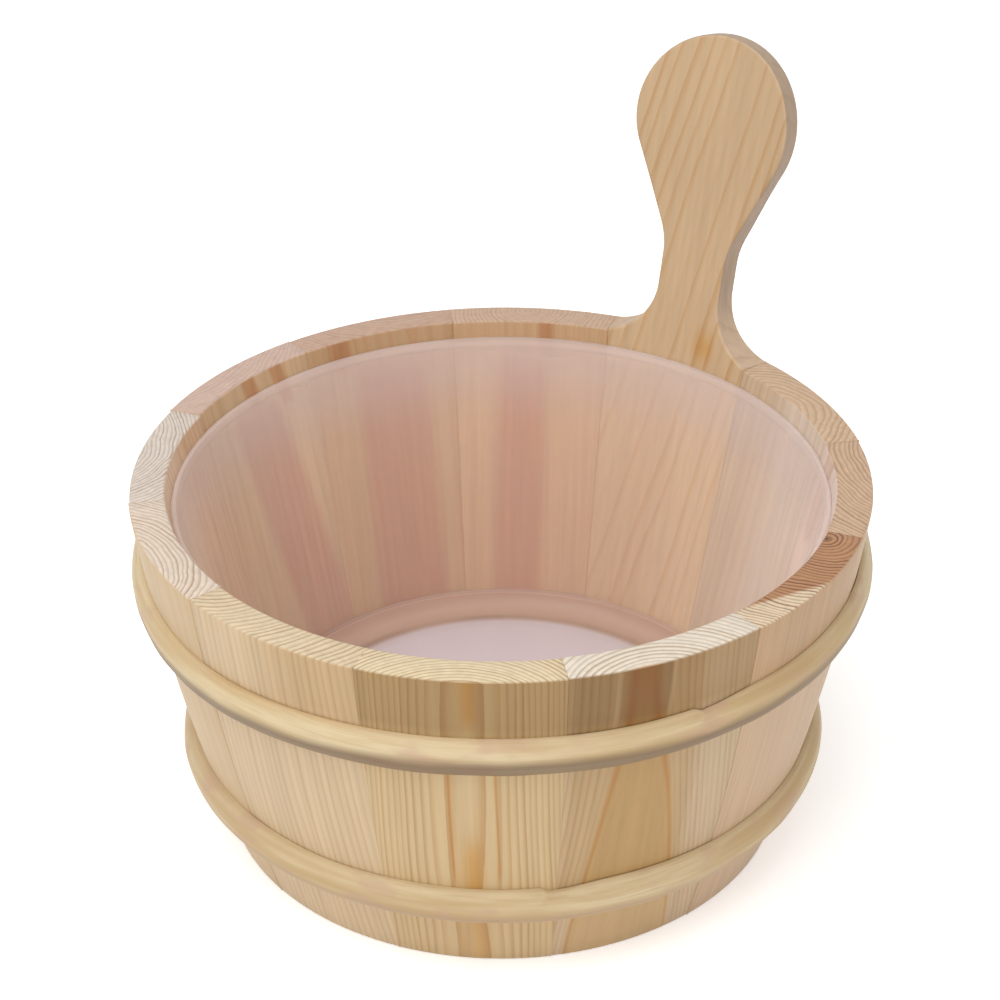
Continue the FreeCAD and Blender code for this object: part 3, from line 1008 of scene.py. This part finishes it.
@dataclass(frozen=True)
class WallShape:
    """The turned wall that every stave is cut to, in metres and radians.

    Attributes:
        height: the height of the rim.
        rim_radius: the outside radius at the rim.
        foot_radius: the outside radius at the foot.
        rim_thickness: the thickness of the wall at the rim.
        bow_radius: the radius of the arch that the outside bows out on.
        lean: how far the inside leans out.
        croze_low: the underside of the groove for the bottom.
        croze_high: its upper side.
        croze_depth: how deep it is cut.
    """

    height: float = 135 * MM
    rim_radius: float = 130 * MM
    foot_radius: float = 102 * MM
    rim_thickness: float = 12.3 * MM
    bow_radius: float = 820 * MM
    lean: float = math.radians(12.4)
    croze_low: float = 14.25 * MM
    croze_high: float = 19.55 * MM
    croze_depth: float = 4.15 * MM

    def inner(self, height: float) -> float:
        """The inside radius at a height."""
        return self.rim_radius - self.rim_thickness - (self.height - height) * math.tan(self.lean)

    def outer(self, height: float) -> float:
        """The outside radius, on the bow of the wall.

        Args:
            height: the height above the foot.

        Returns:
            The radius there.
        """
        across = self.rim_radius - self.foot_radius
        chord = math.hypot(across, self.height)
        reach = math.sqrt(self.bow_radius ** 2 - chord ** 2 / 4)
        centre_radius = (self.rim_radius + self.foot_radius) / 2 - self.height * reach / chord
        centre_height = self.height / 2 + across * reach / chord
        return centre_radius + math.sqrt(self.bow_radius ** 2 - (height - centre_height) ** 2)


@dataclass(frozen=True)
class StaveTrim:
    """How one stave differs a little from the next, in metres.

    Attributes:
        proud: how far its outside stands out at both ends.
        inset: how far its inside stands in.
        lift: how far its end stands above the rim.
    """

    proud: float = 0.0
    inset: float = 0.0
    lift: float = 0.0


@dataclass
class StaveWall:
    """The eleven plain staves.

    Attributes:
        shape: the wall that they are cut to.
        finish: the planed wood.
        cuts: how each was cut from its log, by number.
        trims: how each differs from the next, by number.
        count: how many staves go round, with the handle stave.
        joint: half the gap between two staves.
        edge_round: the rounding of the rim and the foot.
        joint_round: the rounding along the joints.
        turns: how many flats go across a stave.
        bow_steps: how many go up its outside.
    """

    shape: WallShape
    finish: PineFinish
    cuts: dict[int, PineCut]
    trims: dict[int, StaveTrim]
    count: int = 12
    joint: float = 0.01 * MM
    edge_round: float = 0.9 * MM
    joint_round: float = 0.05 * MM
    turns: int = 12
    bow_steps: int = 14

    def section(self, trim: StaveTrim) -> Section:
        """Draw the outline of one stave, with its groove for the bottom.

        Args:
            trim: how it differs from the next.

        Returns:
            The outline.
        """
        shape = self.shape
        top = shape.height + trim.lift
        pen = Section(shape.inner(0.0) - trim.inset, 0.0)
        pen.line(shape.foot_radius + trim.proud, 0.0)
        pen.arc(shape.rim_radius + trim.proud, top, shape.bow_radius, self.bow_steps)
        pen.line(shape.inner(top) - trim.inset, top)
        pen.line(shape.inner(shape.croze_high) - trim.inset, shape.croze_high)
        pen.line(shape.inner(shape.croze_high) + shape.croze_depth, shape.croze_high)
        pen.line(shape.inner(shape.croze_low) + shape.croze_depth, shape.croze_low)
        pen.line(shape.inner(shape.croze_low) - trim.inset, shape.croze_low)
        pen.close()
        return pen

    def build_one(self, number: int) -> bpy.types.Object:
        """Build one stave.

        Args:
            number: its number, anticlockwise from the handle.

        Returns:
            The stave.
        """
        trim = self.trims.get(number, StaveTrim())
        span = FULL_TURN / self.count
        bearing = number * span
        gap = self.joint / self.shape.rim_radius
        mesh = self.section(trim).spin(span - 2 * gap, self.turns)
        turn = Matrix.Rotation(bearing - span / 2 + gap, 3, "Z")
        bmesh.ops.rotate(mesh, verts=mesh.verts[:], cent=(0.0, 0.0, 0.0), matrix=turn)
        self.ease(mesh, self.shape.height + trim.lift)
        material = self.finish.make(f"pine_stave_{number:02d}", self.cuts[number], bearing)
        made = finish_mesh(mesh, f"stave_{number:02d}", material)
        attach(made, "root")
        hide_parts(f"wall_stave_{number:02d}")
        return made

    def ease(self, mesh: bmesh.types.BMesh, top: float) -> None:
        """Take the sharpness off the rim, the foot and the joints.

        Args:
            mesh: the stave.
            top: the height of its upper end.
        """
        def level(edge: bmesh.types.BMEdge, height: float) -> bool:
            """Whether an edge lies level at a height."""
            return all(abs(vert.co.z - height) < NEARLY for vert in edge.verts)

        def round_over(edges: list[bmesh.types.BMEdge], offset: float, segments: int) -> None:
            """Round some edges."""
            bmesh.ops.bevel(
                mesh, geom=edges, offset=offset, offset_type="OFFSET", segments=segments, profile=0.5,
                affect="EDGES", material=-1, clamp_overlap=True,
            )

        joints = [edge for edge in mesh.edges if any(len(face.verts) > 6 for face in edge.link_faces)]
        round_over(joints, self.joint_round, 2)
        across = [
            edge for edge in mesh.edges
            if (level(edge, top) or level(edge, 0.0)) and edge.calc_face_angle(0.0) > 1.0
        ]
        round_over(across, self.edge_round, 3)

    def build(self) -> list[bpy.types.Object]:
        """Build all the plain staves."""
        return [self.build_one(number) for number in range(1, self.count)]


@dataclass
class HandleStave:
    """The tall stave with its neck and paddle, which the frame holds in full.

    Attributes:
        finish: its planed wood.
        cut: how it was cut from its log.
        node: its node.
    """

    finish: PineFinish
    cut: PineCut
    node: str = "handle_stave"

    def build(self, frame: dict) -> bpy.types.Object:
        """Dress the handle stave.

        Args:
            frame: the loaded frame.

        Returns:
            The handle stave.
        """
        made = frame["nodes"][self.node]
        made.data.materials.clear()
        made.data.materials.append(self.finish.make("pine_handle", self.cut, 0.0))
        return made


@dataclass
class Boards:
    """The three boards of the bottom, which the frame holds in full.

    Attributes:
        finish: their planed wood.
        cuts: how each was cut from its log, by node.
    """

    finish: PineFinish
    cuts: dict[str, PineCut]

    def build(self, frame: dict) -> list[bpy.types.Object]:
        """Dress the boards.

        Args:
            frame: the loaded frame.

        Returns:
            The boards.
        """
        made = [frame["nodes"][name] for name in self.cuts]
        for board, (name, cut) in zip(made, self.cuts.items()):
            board.data.materials.clear()
            board.data.materials.append(self.finish.make(f"pine_{name}", cut, 0.0))
        return made


@dataclass
class Hoop:
    """One bent half-round hoop.

    Attributes:
        name: the node that it replaces.
        shape: the wall that it grips.
        height: the height of its middle.
        width: how wide the strip is.
        thickness: how thick it is in the middle.
        scarf_bearing: where its lap lies, from +Y, anticlockwise.
        finish: its wood.
        seed: which run of chance it takes.
        sag: where it has slipped: the middle, the half width and how far.
        edge: how thick it is at its edges.
        clearance: its gap to the wall.
        step_drop: how far its upper edge drops at the lap.
        step_run: how long the drop takes to fade.
        waves: waves in a metre of its slow wobble and of its fine ripple.
        wobble: how far it wobbles up and down.
        ripple: how far its face ripples in and out.
        turns: how many flats go round.
        bulge_steps: how many go over its round face.
    """

    name: str
    shape: WallShape
    height: float
    width: float
    thickness: float
    scarf_bearing: float
    finish: HoopFinish
    seed: float
    sag: tuple[tuple[float, float, float], ...] = ()
    edge: float = 1.3 * MM
    clearance: float = 0.15 * MM
    step_drop: float = 1.8 * MM
    step_run: float = 24 * MM
    waves: tuple[float, float] = (22.0, 60.0)
    wobble: float = 0.5 * MM
    ripple: float = 0.35 * MM
    turns: int = 240
    bulge_steps: int = 14

    def drop(self, bearing: float) -> float:
        """How far the hoop has slipped.

        Args:
            bearing: where, from +Y, anticlockwise.

        Returns:
            The drop in metres.
        """
        total = 0.0
        for middle, half_width, amount in self.sag:
            off = (bearing - middle + math.pi) % FULL_TURN - math.pi
            if abs(off) < half_width:
                total += amount * (0.5 + 0.5 * math.cos(math.pi * off / half_width))
        return total

    def build(self) -> bpy.types.Object:
        """Spin the strip round the wall and settle it.

        Returns:
            The hoop.
        """
        low, high = self.height - self.width / 2, self.height + self.width / 2
        pen = Section(self.shape.outer(low) + self.clearance, low)
        pen.line(self.shape.outer(low) + self.clearance + self.edge, low)
        bulge = self.thickness - self.edge
        chord = math.hypot(self.shape.outer(high) - self.shape.outer(low), self.width)
        bend = (chord ** 2 / 4 + bulge ** 2) / (2 * bulge)
        pen.arc(self.shape.outer(high) + self.clearance + self.edge, high, bend, self.bulge_steps)
        pen.line(self.shape.outer(high) + self.clearance, high)
        pen.close()
        mesh = pen.spin(FULL_TURN, self.turns)
        for vert in mesh.verts:
            self.settle(vert)
        made = finish_mesh(mesh, f"{self.name}_strip", self.finish.make(f"{self.name}_wood", self.seed), 50.0)
        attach(made, "root")
        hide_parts(self.name)
        return made

    def settle(self, vert: bmesh.types.BMVert) -> None:
        """Move one point as the real strip lies: a little uneven, with its lap.

        Args:
            vert: the point.
        """
        bearing = math.atan2(-vert.co.x, vert.co.y)
        radius = math.hypot(vert.co.x, vert.co.y)
        share = (vert.co.z - self.height) / self.width + 0.5
        stand = radius - self.shape.outer(vert.co.z)
        slow, fast = self.waves
        wobble = noise.noise(Vector((vert.co.x * slow, vert.co.y * slow, self.seed))) * self.wobble
        along = Vector((vert.co.x * fast, vert.co.y * fast, share * 2 + self.seed))
        ripple = noise.noise(along) * self.ripple
        around = ((bearing - self.scarf_bearing) % FULL_TURN) * radius
        step = 0.0
        if around < self.step_run:
            eased = around / self.step_run
            step = self.step_drop * (1 - eased * eased * (3 - 2 * eased))
        height = vert.co.z - self.drop(bearing) + wobble - step * max(0.0, share * 1.6 - 0.6)
        outer = self.shape.outer(height)
        grow = max(stand + (ripple if stand > 1.5 * MM else 0.0), self.clearance)
        scale = (outer + grow) / radius
        vert.co = (vert.co.x * scale, vert.co.y * scale, height)


@dataclass
class Liner:
    """The loose plastic liner.

    Attributes:
        shape: the wall that it stands in.
        finish: its plastic.
        board_top: the height of the bottom that it rests on.
        wall: how thick it is.
        gap: its gap to the wall.
        lip_depth: how far its lip lies below the rim.
        lip_thickness: how thick the lip is.
        lip_clearance: the lip's gap to the wall.
        corner: the outside rounding between its wall and floor.
        push_up: how far the middle of its floor stands up.
        push_up_radius: how far that part reaches.
        slope_run: how far it takes to come down.
        lip_round: how much is taken off the lip's edges.
        mouth_drop: how deep the edge of its mouth is eased.
        flare_drop: how far below the lip the wall starts to turn out.
        flare_bend: the radius that it turns on.
        turns: how many flats go round.
    """

    shape: WallShape
    finish: LinerFinish
    board_top: float = 19.4 * MM
    wall: float = 1.6 * MM
    gap: float = 0.9 * MM
    lip_depth: float = 5.8 * MM
    lip_thickness: float = 1.8 * MM
    lip_clearance: float = 0.3 * MM
    corner: float = 9 * MM
    push_up: float = 1.5 * MM
    push_up_radius: float = 74 * MM
    slope_run: float = 3 * MM
    lip_round: float = 0.5 * MM
    mouth_drop: float = 0.6 * MM
    flare_drop: float = 2 * MM
    flare_bend: float = 3 * MM
    turns: int = 192

    def build(self) -> bpy.types.Object:
        """Spin the liner from its section.

        Returns:
            The liner.
        """
        lean = self.shape.lean
        floor_top = self.board_top + self.wall
        lip_top = self.shape.height - self.lip_depth
        lip_under = lip_top - self.lip_thickness

        def outside(height: float) -> float:
            """The outside radius at a height."""
            return self.shape.inner(height) - self.gap

        def inside(height: float) -> float:
            """The inside radius at a height."""
            return outside(height) - self.wall / math.cos(lean)

        inner_bend = self.corner - self.wall
        reach = math.tan((math.pi / 2 - lean) / 2)
        base_out = outside(self.board_top) - self.corner * reach
        rise_out = self.corner * reach
        pen = Section(0.0, self.board_top + self.push_up)
        pen.line(self.push_up_radius, self.board_top + self.push_up)
        pen.line(self.push_up_radius + self.slope_run, self.board_top)
        pen.line(base_out, self.board_top)
        pen.arc(
            outside(self.board_top) + rise_out * math.sin(lean), self.board_top + rise_out * math.cos(lean),
            self.corner, 8,
        )
        pen.line(outside(lip_under - self.flare_drop), lip_under - self.flare_drop)
        pen.arc(outside(lip_under) + self.lip_round, lip_under, -self.flare_bend, 3)
        lip_edge = self.shape.inner(lip_under) - self.lip_clearance
        pen.line(lip_edge, lip_under)
        pen.line(lip_edge, lip_top - self.lip_round)
        pen.line(lip_edge - self.lip_round, lip_top)
        pen.line(inside(lip_top) + self.lip_round, lip_top)
        pen.line(inside(lip_top - self.mouth_drop), lip_top - self.mouth_drop)
        base_in = inside(floor_top) - inner_bend * reach
        rise_in = inner_bend * reach
        pen.line(inside(floor_top) + rise_in * math.sin(lean), floor_top + rise_in * math.cos(lean))
        pen.arc(base_in, floor_top, -inner_bend, 8)
        pen.line(self.push_up_radius + self.slope_run, floor_top)
        pen.line(self.push_up_radius, floor_top + self.push_up)
        pen.line(0.0, floor_top + self.push_up)
        mesh = pen.spin(FULL_TURN, self.turns)
        made = finish_mesh(mesh, "liner_shell", self.finish.make("liner_polythene"), 60.0)
        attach(made, "root")
        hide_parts("liner")
        return made


# Studio


@dataclass(frozen=True)
class Lamp:
    """One soft round lamp, turned to the bucket.

    Attributes:
        name: its name.
        azimuth: how far it stands right of the camera, in degrees.
        elevation: how high it stands, in degrees.
        distance: how far away it is, in metres.
        size: how wide it is, in metres.
        power: its power, in watts.
    """

    name: str
    azimuth: float
    elevation: float
    distance: float
    size: float
    power: float


@dataclass
class Studio:
    """A pale floor, soft lamps and the camera.

    Attributes:
        sky: the light from all round.
        sky_slope: how much stronger it is from one side.
        sky_turn: how far that side lies left of the camera, in degrees.
        floor_size: half the width of the floor.
        floor_white: the floor's white for all other light.
        floor_glow: how much of the floor's white it gives by itself.
        drop: how far the floor lies below the foot.
        lamps: the lamps.
        camera_bearing: where the camera stands, in degrees anticlockwise from -Y.
        focal_length: its lens, in millimetres.
        film_width: the width of its film, in millimetres.
        reach: the nearest and farthest that it sees.
        camera_place: where it stands, before the bearing turns it.
        pitch: how far it looks down, in radians.
        yaw: how far it looks right.
        roll: how far it tips.
        aim: what the lamps are turned to.
    """

    sky: float = 0.6
    sky_slope: float = 0.1
    sky_turn: float = 60.0
    floor_size: float = 6.0
    floor_white: float = 0.957
    floor_glow: float = 0.4
    drop: float = 0.1 * MM
    lamps: tuple[Lamp, ...] = (
        Lamp("key", -34.0, 64.0, 1.6, 1.3, 12.5),
        Lamp("fill", 22.0, 4.0, 2.2, 1.6, 6.5),
    )
    camera_bearing: float = 36.0
    focal_length: float = 90.27
    film_width: float = 36.0
    reach: tuple[float, float] = (0.05, 20.0)
    camera_place: tuple[float, float, float] = (0.0, -763.206 * MM, 575.515 * MM)
    pitch: float = 0.53508
    yaw: float = -0.00058
    roll: float = -0.00766
    aim: tuple[float, float, float] = (0.0, 0.0, 0.07)

    def build(self) -> None:
        """Set up the studio."""
        self.build_floor()
        self.build_world()
        for lamp in self.lamps:
            self.build_lamp(lamp)
        self.build_camera()
        bpy.context.scene.view_settings.view_transform = "Standard"

    def build_floor(self) -> None:
        """Lay the floor."""
        mesh = bmesh.new()
        bmesh.ops.create_grid(mesh, x_segments=1, y_segments=1, size=self.floor_size)
        bmesh.ops.translate(mesh, verts=mesh.verts[:], vec=(0.0, 0.0, -self.drop))
        shader = Shader(bpy.data.materials.new("studio_floor"))
        seen = shader.seen()
        material = shader.surface({
            "Base Color": shader.mix(seen, (self.floor_white,) * 3, WHITE),
            "Roughness": 0.9,
            "Specular IOR Level": 0.0,
            "Emission Color": shader.mix(seen, (0.0, 0.0, 0.0), (self.floor_glow,) * 3),
            "Emission Strength": 1.0,
        })
        floor = finish_mesh(mesh, "floor", material)

    def build_world(self) -> None:
        """Set the even light from all round, and the white seen behind."""
        world = bpy.data.worlds.new("studio")
        bpy.context.scene.world = world
        shader = Shader(world)
        side = math.radians(self.camera_bearing - 90.0 - self.sky_turn)
        bright = Vector((math.cos(side), math.sin(side), 1.0)).normalized()
        where = shader.node("ShaderNodeTexCoord").outputs["Generated"]
        toward = shader.node("ShaderNodeVectorMath", {"operation": "DOT_PRODUCT"}, {0: where, 1: bright})
        level = Value(shader, toward.outputs["Value"]) * self.sky_slope + self.sky
        even = shader.node("ShaderNodeBackground", None, {"Color": WHITE, "Strength": level})
        white = shader.node("ShaderNodeBackground", None, {"Color": WHITE, "Strength": 1.0})
        inputs = {0: shader.seen(), 1: even.outputs[0], 2: white.outputs[0]}
        mixed = shader.node("ShaderNodeMixShader", None, inputs)
        shader.node("ShaderNodeOutputWorld", None, {"Surface": mixed.outputs[0]})

    def build_lamp(self, lamp: Lamp) -> None:
        """Hang one lamp.

        Args:
            lamp: its place and power.
        """
        data = bpy.data.lights.new(lamp.name, "AREA")
        data.shape = "DISK"
        data.size = lamp.size
        data.energy = lamp.power
        made = bpy.data.objects.new(lamp.name, data)
        bpy.context.scene.collection.objects.link(made)
        angle = math.radians(self.camera_bearing - 90.0 + lamp.azimuth)
        rise = math.radians(lamp.elevation)
        away = Vector((math.cos(angle) * math.cos(rise), math.sin(angle) * math.cos(rise), math.sin(rise)))
        aim = Vector(self.aim)
        made.location = aim + away * lamp.distance
        made.rotation_euler = away.to_track_quat("Z", "Y").to_euler()

    def build_camera(self) -> None:
        """Place the camera."""
        data = bpy.data.cameras.new("camera")
        data.lens = self.focal_length
        data.sensor_width = self.film_width
        data.clip_start, data.clip_end = self.reach
        camera = bpy.data.objects.new("camera", data)
        bpy.context.scene.collection.objects.link(camera)
        ahead = Vector((
            math.sin(self.yaw) * math.cos(self.pitch),
            math.cos(self.yaw) * math.cos(self.pitch),
            -math.sin(self.pitch),
        ))
        right = Vector((math.cos(self.yaw), -math.sin(self.yaw), 0.0))
        up = right.cross(ahead)
        rolled_right = right * math.cos(self.roll) + up * math.sin(self.roll)
        rolled_up = up * math.cos(self.roll) - right * math.sin(self.roll)
        turned = Matrix((rolled_right, rolled_up, -ahead)).transposed().to_4x4()
        turned.translation = Vector(self.camera_place)
        camera.matrix_world = Matrix.Rotation(math.radians(self.camera_bearing), 4, "Z") @ turned
        bpy.context.scene.camera = camera


# The bucket's own wood and hoops


RED_WOOD = tone(243, 222, 226)
STREAKED = tone(238, 214, 196)
AMBER = tone(252, 230, 184)
RESIN = tone(244, 212, 158)


def red_band(left: float, right: float, lean: float = 0.0) -> Stain:
    """Redder wood that shows through the liner."""
    return Stain(Side.INSIDE, RED_WOOD, left, right, lean=lean, blur=3.4, high=122.0, height_blur=8.0)


def shaded(colour: Colour, left: float = -80.0, right: float = 80.0, blur: float = 5.0) -> Stain:
    """Darker wood above the upper hoop."""
    return Stain(Side.OUTSIDE, colour, left, right, blur=blur, low=111.0, height_blur=5.0)


STAVE_CUTS = {
    1: PineCut(
        2.0, 127.0, 1.7, spring=tone(206, 172, 138), rim_spring=tone(198, 168, 143),
        rim_summer=tone(166, 126, 100), rim_lines=0.6, inner_spring=tone(191, 155, 118),
        painted_light_behind_liner=0.48, inner_summer=tone(188, 136, 92), inner_lines=0.3, seed=1.0,
        stains=(red_band(-6.0, 12.5), Stain(Side.INSIDE, STREAKED, -9.0, -3.0, blur=1.5, low=124.0)),
    ),
    2: PineCut(
        -20.0, 160.0, 2.1, rim_spring=tone(194, 162, 140), rim_summer=tone(164, 122, 102),
        rim_lines=0.5, inner_spring=tone(186, 151, 114), painted_light_behind_liner=0.5,
        inner_summer=tone(180, 124, 80), inner_lines=0.35, seed=2.0,
        stains=(red_band(-18.0, 10.5), Stain(Side.INSIDE, STREAKED, 12.0, 20.0, blur=2.0, low=124.0)),
    ),
    3: PineCut(
        10.0, 175.0, 1.9, rim_spring=tone(202, 174, 158), rim_summer=tone(172, 134, 116),
        rim_lines=0.45, inner_spring=tone(199, 169, 134), painted_light_behind_liner=0.42,
        inner_summer=tone(190, 134, 92), inner_lines=0.35, seed=3.0,
        stains=(
            red_band(-11.0, 14.0, lean=-0.15),
            Stain(Side.INSIDE, STREAKED, -18.0, -12.0, lean=-0.2, blur=1.5, low=120.0),
            Stain(Side.INSIDE, STREAKED, -4.0, 3.0, lean=-0.2, blur=1.5, low=124.0),
        ),
    ),
    4: PineCut(
        -5.7, 168.0, 1.35, spring=tone(214, 184, 158), wall_lines=0.15, rim_spring=tone(216, 203, 190),
        rim_summer=tone(156, 134, 118), rim_lines=0.9, inner_spring=tone(226, 200, 174), seed=4.0,
        stains=(Stain(Side.INSIDE, tone(238, 226, 212), -90.0, -4.0, blur=14.0),),
    ),
    5: PineCut(
        4.5, 155.0, 1.75, spring=tone(207, 179, 140), summer=tone(194, 162, 124), wall_lines=0.25,
        rim_spring=tone(222, 206, 188), rim_summer=tone(172, 134, 106), rim_lines=0.9,
        inner_spring=tone(224, 198, 172), seed=5.0,
    ),
    6: PineCut(
        -46.0, 98.0, 2.2, spring=tone(212, 186, 150), summer=tone(182, 144, 102), wall_lines=0.5,
        rim_spring=tone(219, 200, 168), rim_summer=tone(168, 132, 90), rim_lines=0.9, waviness=0.6, seed=6.0,
        stains=(shaded(tone(238, 230, 216), 0.0, 80.0, 14.0),),
    ),
    7: PineCut(
        0.5, 158.0, 1.6, spring=tone(207, 180, 137), summer=tone(176, 128, 70), wall_lines=0.75,
        rim_spring=tone(224, 206, 172), rim_summer=tone(168, 130, 80), rim_lines=0.9, waviness=0.35, seed=7.0,
        stains=(
            shaded(tone(206, 195, 176)),
            Stain(Side.OUTSIDE, AMBER, -1.0, 5.5, blur=3.0, low=34.0, high=62.0, height_blur=9.0),
            Stain(Side.OUTSIDE, AMBER, 0.0, 5.0, blur=2.5, low=117.0, height_blur=5.0),
            Stain(Side.OUTSIDE, RESIN, -5.0, -4.2, blur=0.5, low=44.0, high=108.0, height_blur=6.0),
            Stain(Side.OUTSIDE, RESIN, 10.0, 10.8, blur=0.5, low=44.0, high=108.0, height_blur=6.0),
            Stain(Side.OUTSIDE, AMBER, 0.0, 6.0, blur=3.0, high=26.0, height_blur=5.0, strength=0.7),
        ),
    ),
    8: PineCut(
        -10.0, 148.0, 2.0, drift_across=-0.05, flare=10.0, spring=tone(202, 177, 144),
        summer=tone(182, 138, 92), wall_lines=0.55, rim_spring=tone(228, 216, 200),
        rim_summer=tone(176, 148, 112), rim_lines=0.9,
        heart=tone(197, 165, 120), heart_edge=tone(192, 138, 72), rim_heart=tone(214, 186, 150),
        heart_radius=19.6, inner_spring=tone(219, 191, 162), waviness=0.35, seed=8.0,
        stains=(
            shaded(tone(196, 184, 162), -80.0, -17.5, 1.0),
            shaded(tone(186, 168, 140), -17.0, 1.0, 1.2),
            shaded(tone(218, 206, 186), 1.5, 80.0, 1.2),
            Stain(
                Side.OUTSIDE, tone(239, 231, 212), -32.0, 12.0, lean=0.03, blur=4.0, low=34.0,
                height_blur=8.0,
            ),
        ),
    ),
    9: PineCut(
        26.0, 116.0, 1.8, spring=tone(206, 176, 144), summer=tone(184, 142, 102), wall_lines=0.35,
        rim_spring=tone(224, 202, 172), rim_summer=tone(122, 78, 50), rim_lines=0.98, line_width=0.46,
        rim_heart=tone(80, 48, 32), heart_radius=1.7, inner_spring=tone(226, 204, 184),
        unequal=0.6, seed=9.0,
        stains=(
            Stain(Side.END, tone(208, 172, 146), 2.0, 90.0, slant=1.9, blur=2.4),
            shaded(tone(240, 232, 220)),
        ),
    ),
    10: PineCut(
        29.0, 176.0, 1.7, spring=tone(204, 172, 135), summer=tone(184, 142, 104), wall_lines=0.35,
        rim_spring=tone(202, 172, 142), rim_summer=tone(156, 114, 82), rim_lines=0.85,
        inner_spring=tone(234, 218, 208), seed=10.0,
        stains=(Stain(Side.INSIDE, tone(247, 242, 236), 6.0, 90.0, blur=14.0),),
    ),
    11: PineCut(
        -2.0, 100.0, 2.4, spring=tone(206, 174, 142), rim_spring=tone(204, 175, 145),
        rim_summer=tone(168, 126, 90), rim_lines=0.75, inner_spring=tone(216, 199, 181),
        inner_summer=tone(190, 142, 100), inner_lines=0.35, seed=11.0,
        stains=(Stain(Side.INSIDE, tone(238, 227, 210), 4.0, 90.0, blur=16.0),),
    ),
}
STAVE_TRIMS = {
    1: StaveTrim(inset=0.5 * MM, lift=0.1 * MM),
    2: StaveTrim(proud=0.1 * MM, inset=-0.3 * MM),
    3: StaveTrim(proud=0.2 * MM, inset=-0.4 * MM, lift=0.2 * MM),
    4: StaveTrim(proud=-0.1 * MM),
    5: StaveTrim(proud=0.2 * MM, inset=0.2 * MM),
    6: StaveTrim(proud=0.05 * MM, lift=-0.1 * MM),
    7: StaveTrim(proud=0.15 * MM, inset=-0.2 * MM),
    8: StaveTrim(proud=-0.05 * MM, inset=0.15 * MM, lift=0.1 * MM),
    9: StaveTrim(proud=0.1 * MM),
    10: StaveTrim(proud=-0.1 * MM, inset=0.3 * MM, lift=-0.1 * MM),
    11: StaveTrim(proud=0.15 * MM, inset=-0.1 * MM),
}
HANDLE_CUT = PineCut(
    -60.0, 96.0, 5.0, drift_across=-0.2, spring=tone(204, 174, 140), summer=tone(182, 142, 98),
    rim_spring=tone(198, 171, 144), rim_summer=tone(178, 146, 114), inner_spring=tone(205, 176, 140),
    inner_summer=tone(188, 140, 82), inner_lines=0.6, painted_light_behind_liner=0.48, wall_lines=0.4, rim_lines=0.4,
    line_width=0.3, waviness=0.75, unequal=0.85, seed=12.0,
    stains=(
        Stain(Side.INSIDE, AMBER, -14.0, -6.0, blur=3.0, low=132.0, high=142.0, height_blur=6.0),
        Stain(Side.INSIDE, tone(243, 236, 228), -4.0, 90.0, blur=16.0, high=124.0, height_blur=4.0),
        # Painted light on the neck: the inner colour is raised and the paddle above 180 mm is painted a
        # little darker, against the shade that falls on the neck.
        Stain(Side.INSIDE, tone(244, 242, 240), -90.0, 90.0, low=180.0, height_blur=24.0),
    ),
)
BOARD_WOOD = PineCut(
    0.0, 120.0, 3.2, spring=tone(222, 203, 174), summer=tone(200, 168, 126),
    inner_spring=tone(212, 184, 148), inner_summer=tone(184, 142, 96), inner_lines=0.6, painted_light_behind_liner=0.0,
)
BOARD_CUTS = {
    "bottom_board_left": replace(BOARD_WOOD, pith_across=-62.0, pith_out=140.0, seed=13.0),
    "bottom_board_middle": replace(BOARD_WOOD, pith_across=6.0, pith_out=96.0, seed=14.0),
    "bottom_board_right": replace(BOARD_WOOD, pith_across=84.0, pith_out=118.0, spacing=2.6, seed=15.0),
}


class HoopPlace(Enum):
    """The two hoops."""

    UPPER = "upper_hoop"
    LOWER = "lower_hoop"


def make_hoop(place: HoopPlace, shape: WallShape) -> Hoop:
    """The sizes and finish of one hoop.

    Args:
        place: which hoop.
        shape: the wall that it grips.

    Returns:
        The hoop.
    """
    if place is HoopPlace.UPPER:
        # The upper hoop gets a darker painted shade that reaches further up its face.
        return Hoop(
            place.value, shape, 104 * MM, 15 * MM, 5.6 * MM, math.radians(245),
            HoopFinish(under=tone(112, 88, 64), under_from=0.22, under_to=-0.3), 3.1,
            sag=((math.radians(-199), math.radians(45), 3.2 * MM),),
        )
    return Hoop(
        place.value, shape, 32.4 * MM, 14.6 * MM, 6.8 * MM, math.radians(223), HoopFinish(), 7.7,
    )


def main() -> None:
    """Build the bucket and its studio in order."""
    logging.basicConfig(level=logging.INFO, format="%(name)s: %(message)s")
    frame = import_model()
    shape = WallShape()
    inside = shape.inner(shape.height)
    taper = shape.rim_radius - shape.foot_radius
    outer_lean = math.atan(taper / shape.height)
    bow = math.hypot(taper, shape.height) ** 2 / 8 / shape.bow_radius
    finish = PineFinish(shape.lean, shape.height, inside, shape.rim_radius, outer_lean, bow)
    flat_finish = PineFinish(shape.lean, shape.height, inside, shape.rim_radius, shape.lean, free=True)
    for stave in StaveWall(shape, finish, STAVE_CUTS, STAVE_TRIMS).build():
        LOG.info("built %s with %d faces", stave.name, len(stave.data.polygons))
    LOG.info("dressed %s", HandleStave(flat_finish, HANDLE_CUT).build(frame).name)
    for board in Boards(replace(flat_finish, laid=True), BOARD_CUTS).build(frame):
        LOG.info("dressed %s", board.name)
    for place in HoopPlace:
        hoop = make_hoop(place, shape).build()
        LOG.info("built %s with %d faces", hoop.name, len(hoop.data.polygons))
    liner = Liner(shape, LinerFinish()).build()
    LOG.info("built %s with %d faces", liner.name, len(liner.data.polygons))
    Studio().build()


if __name__ == "__main__":
    main()
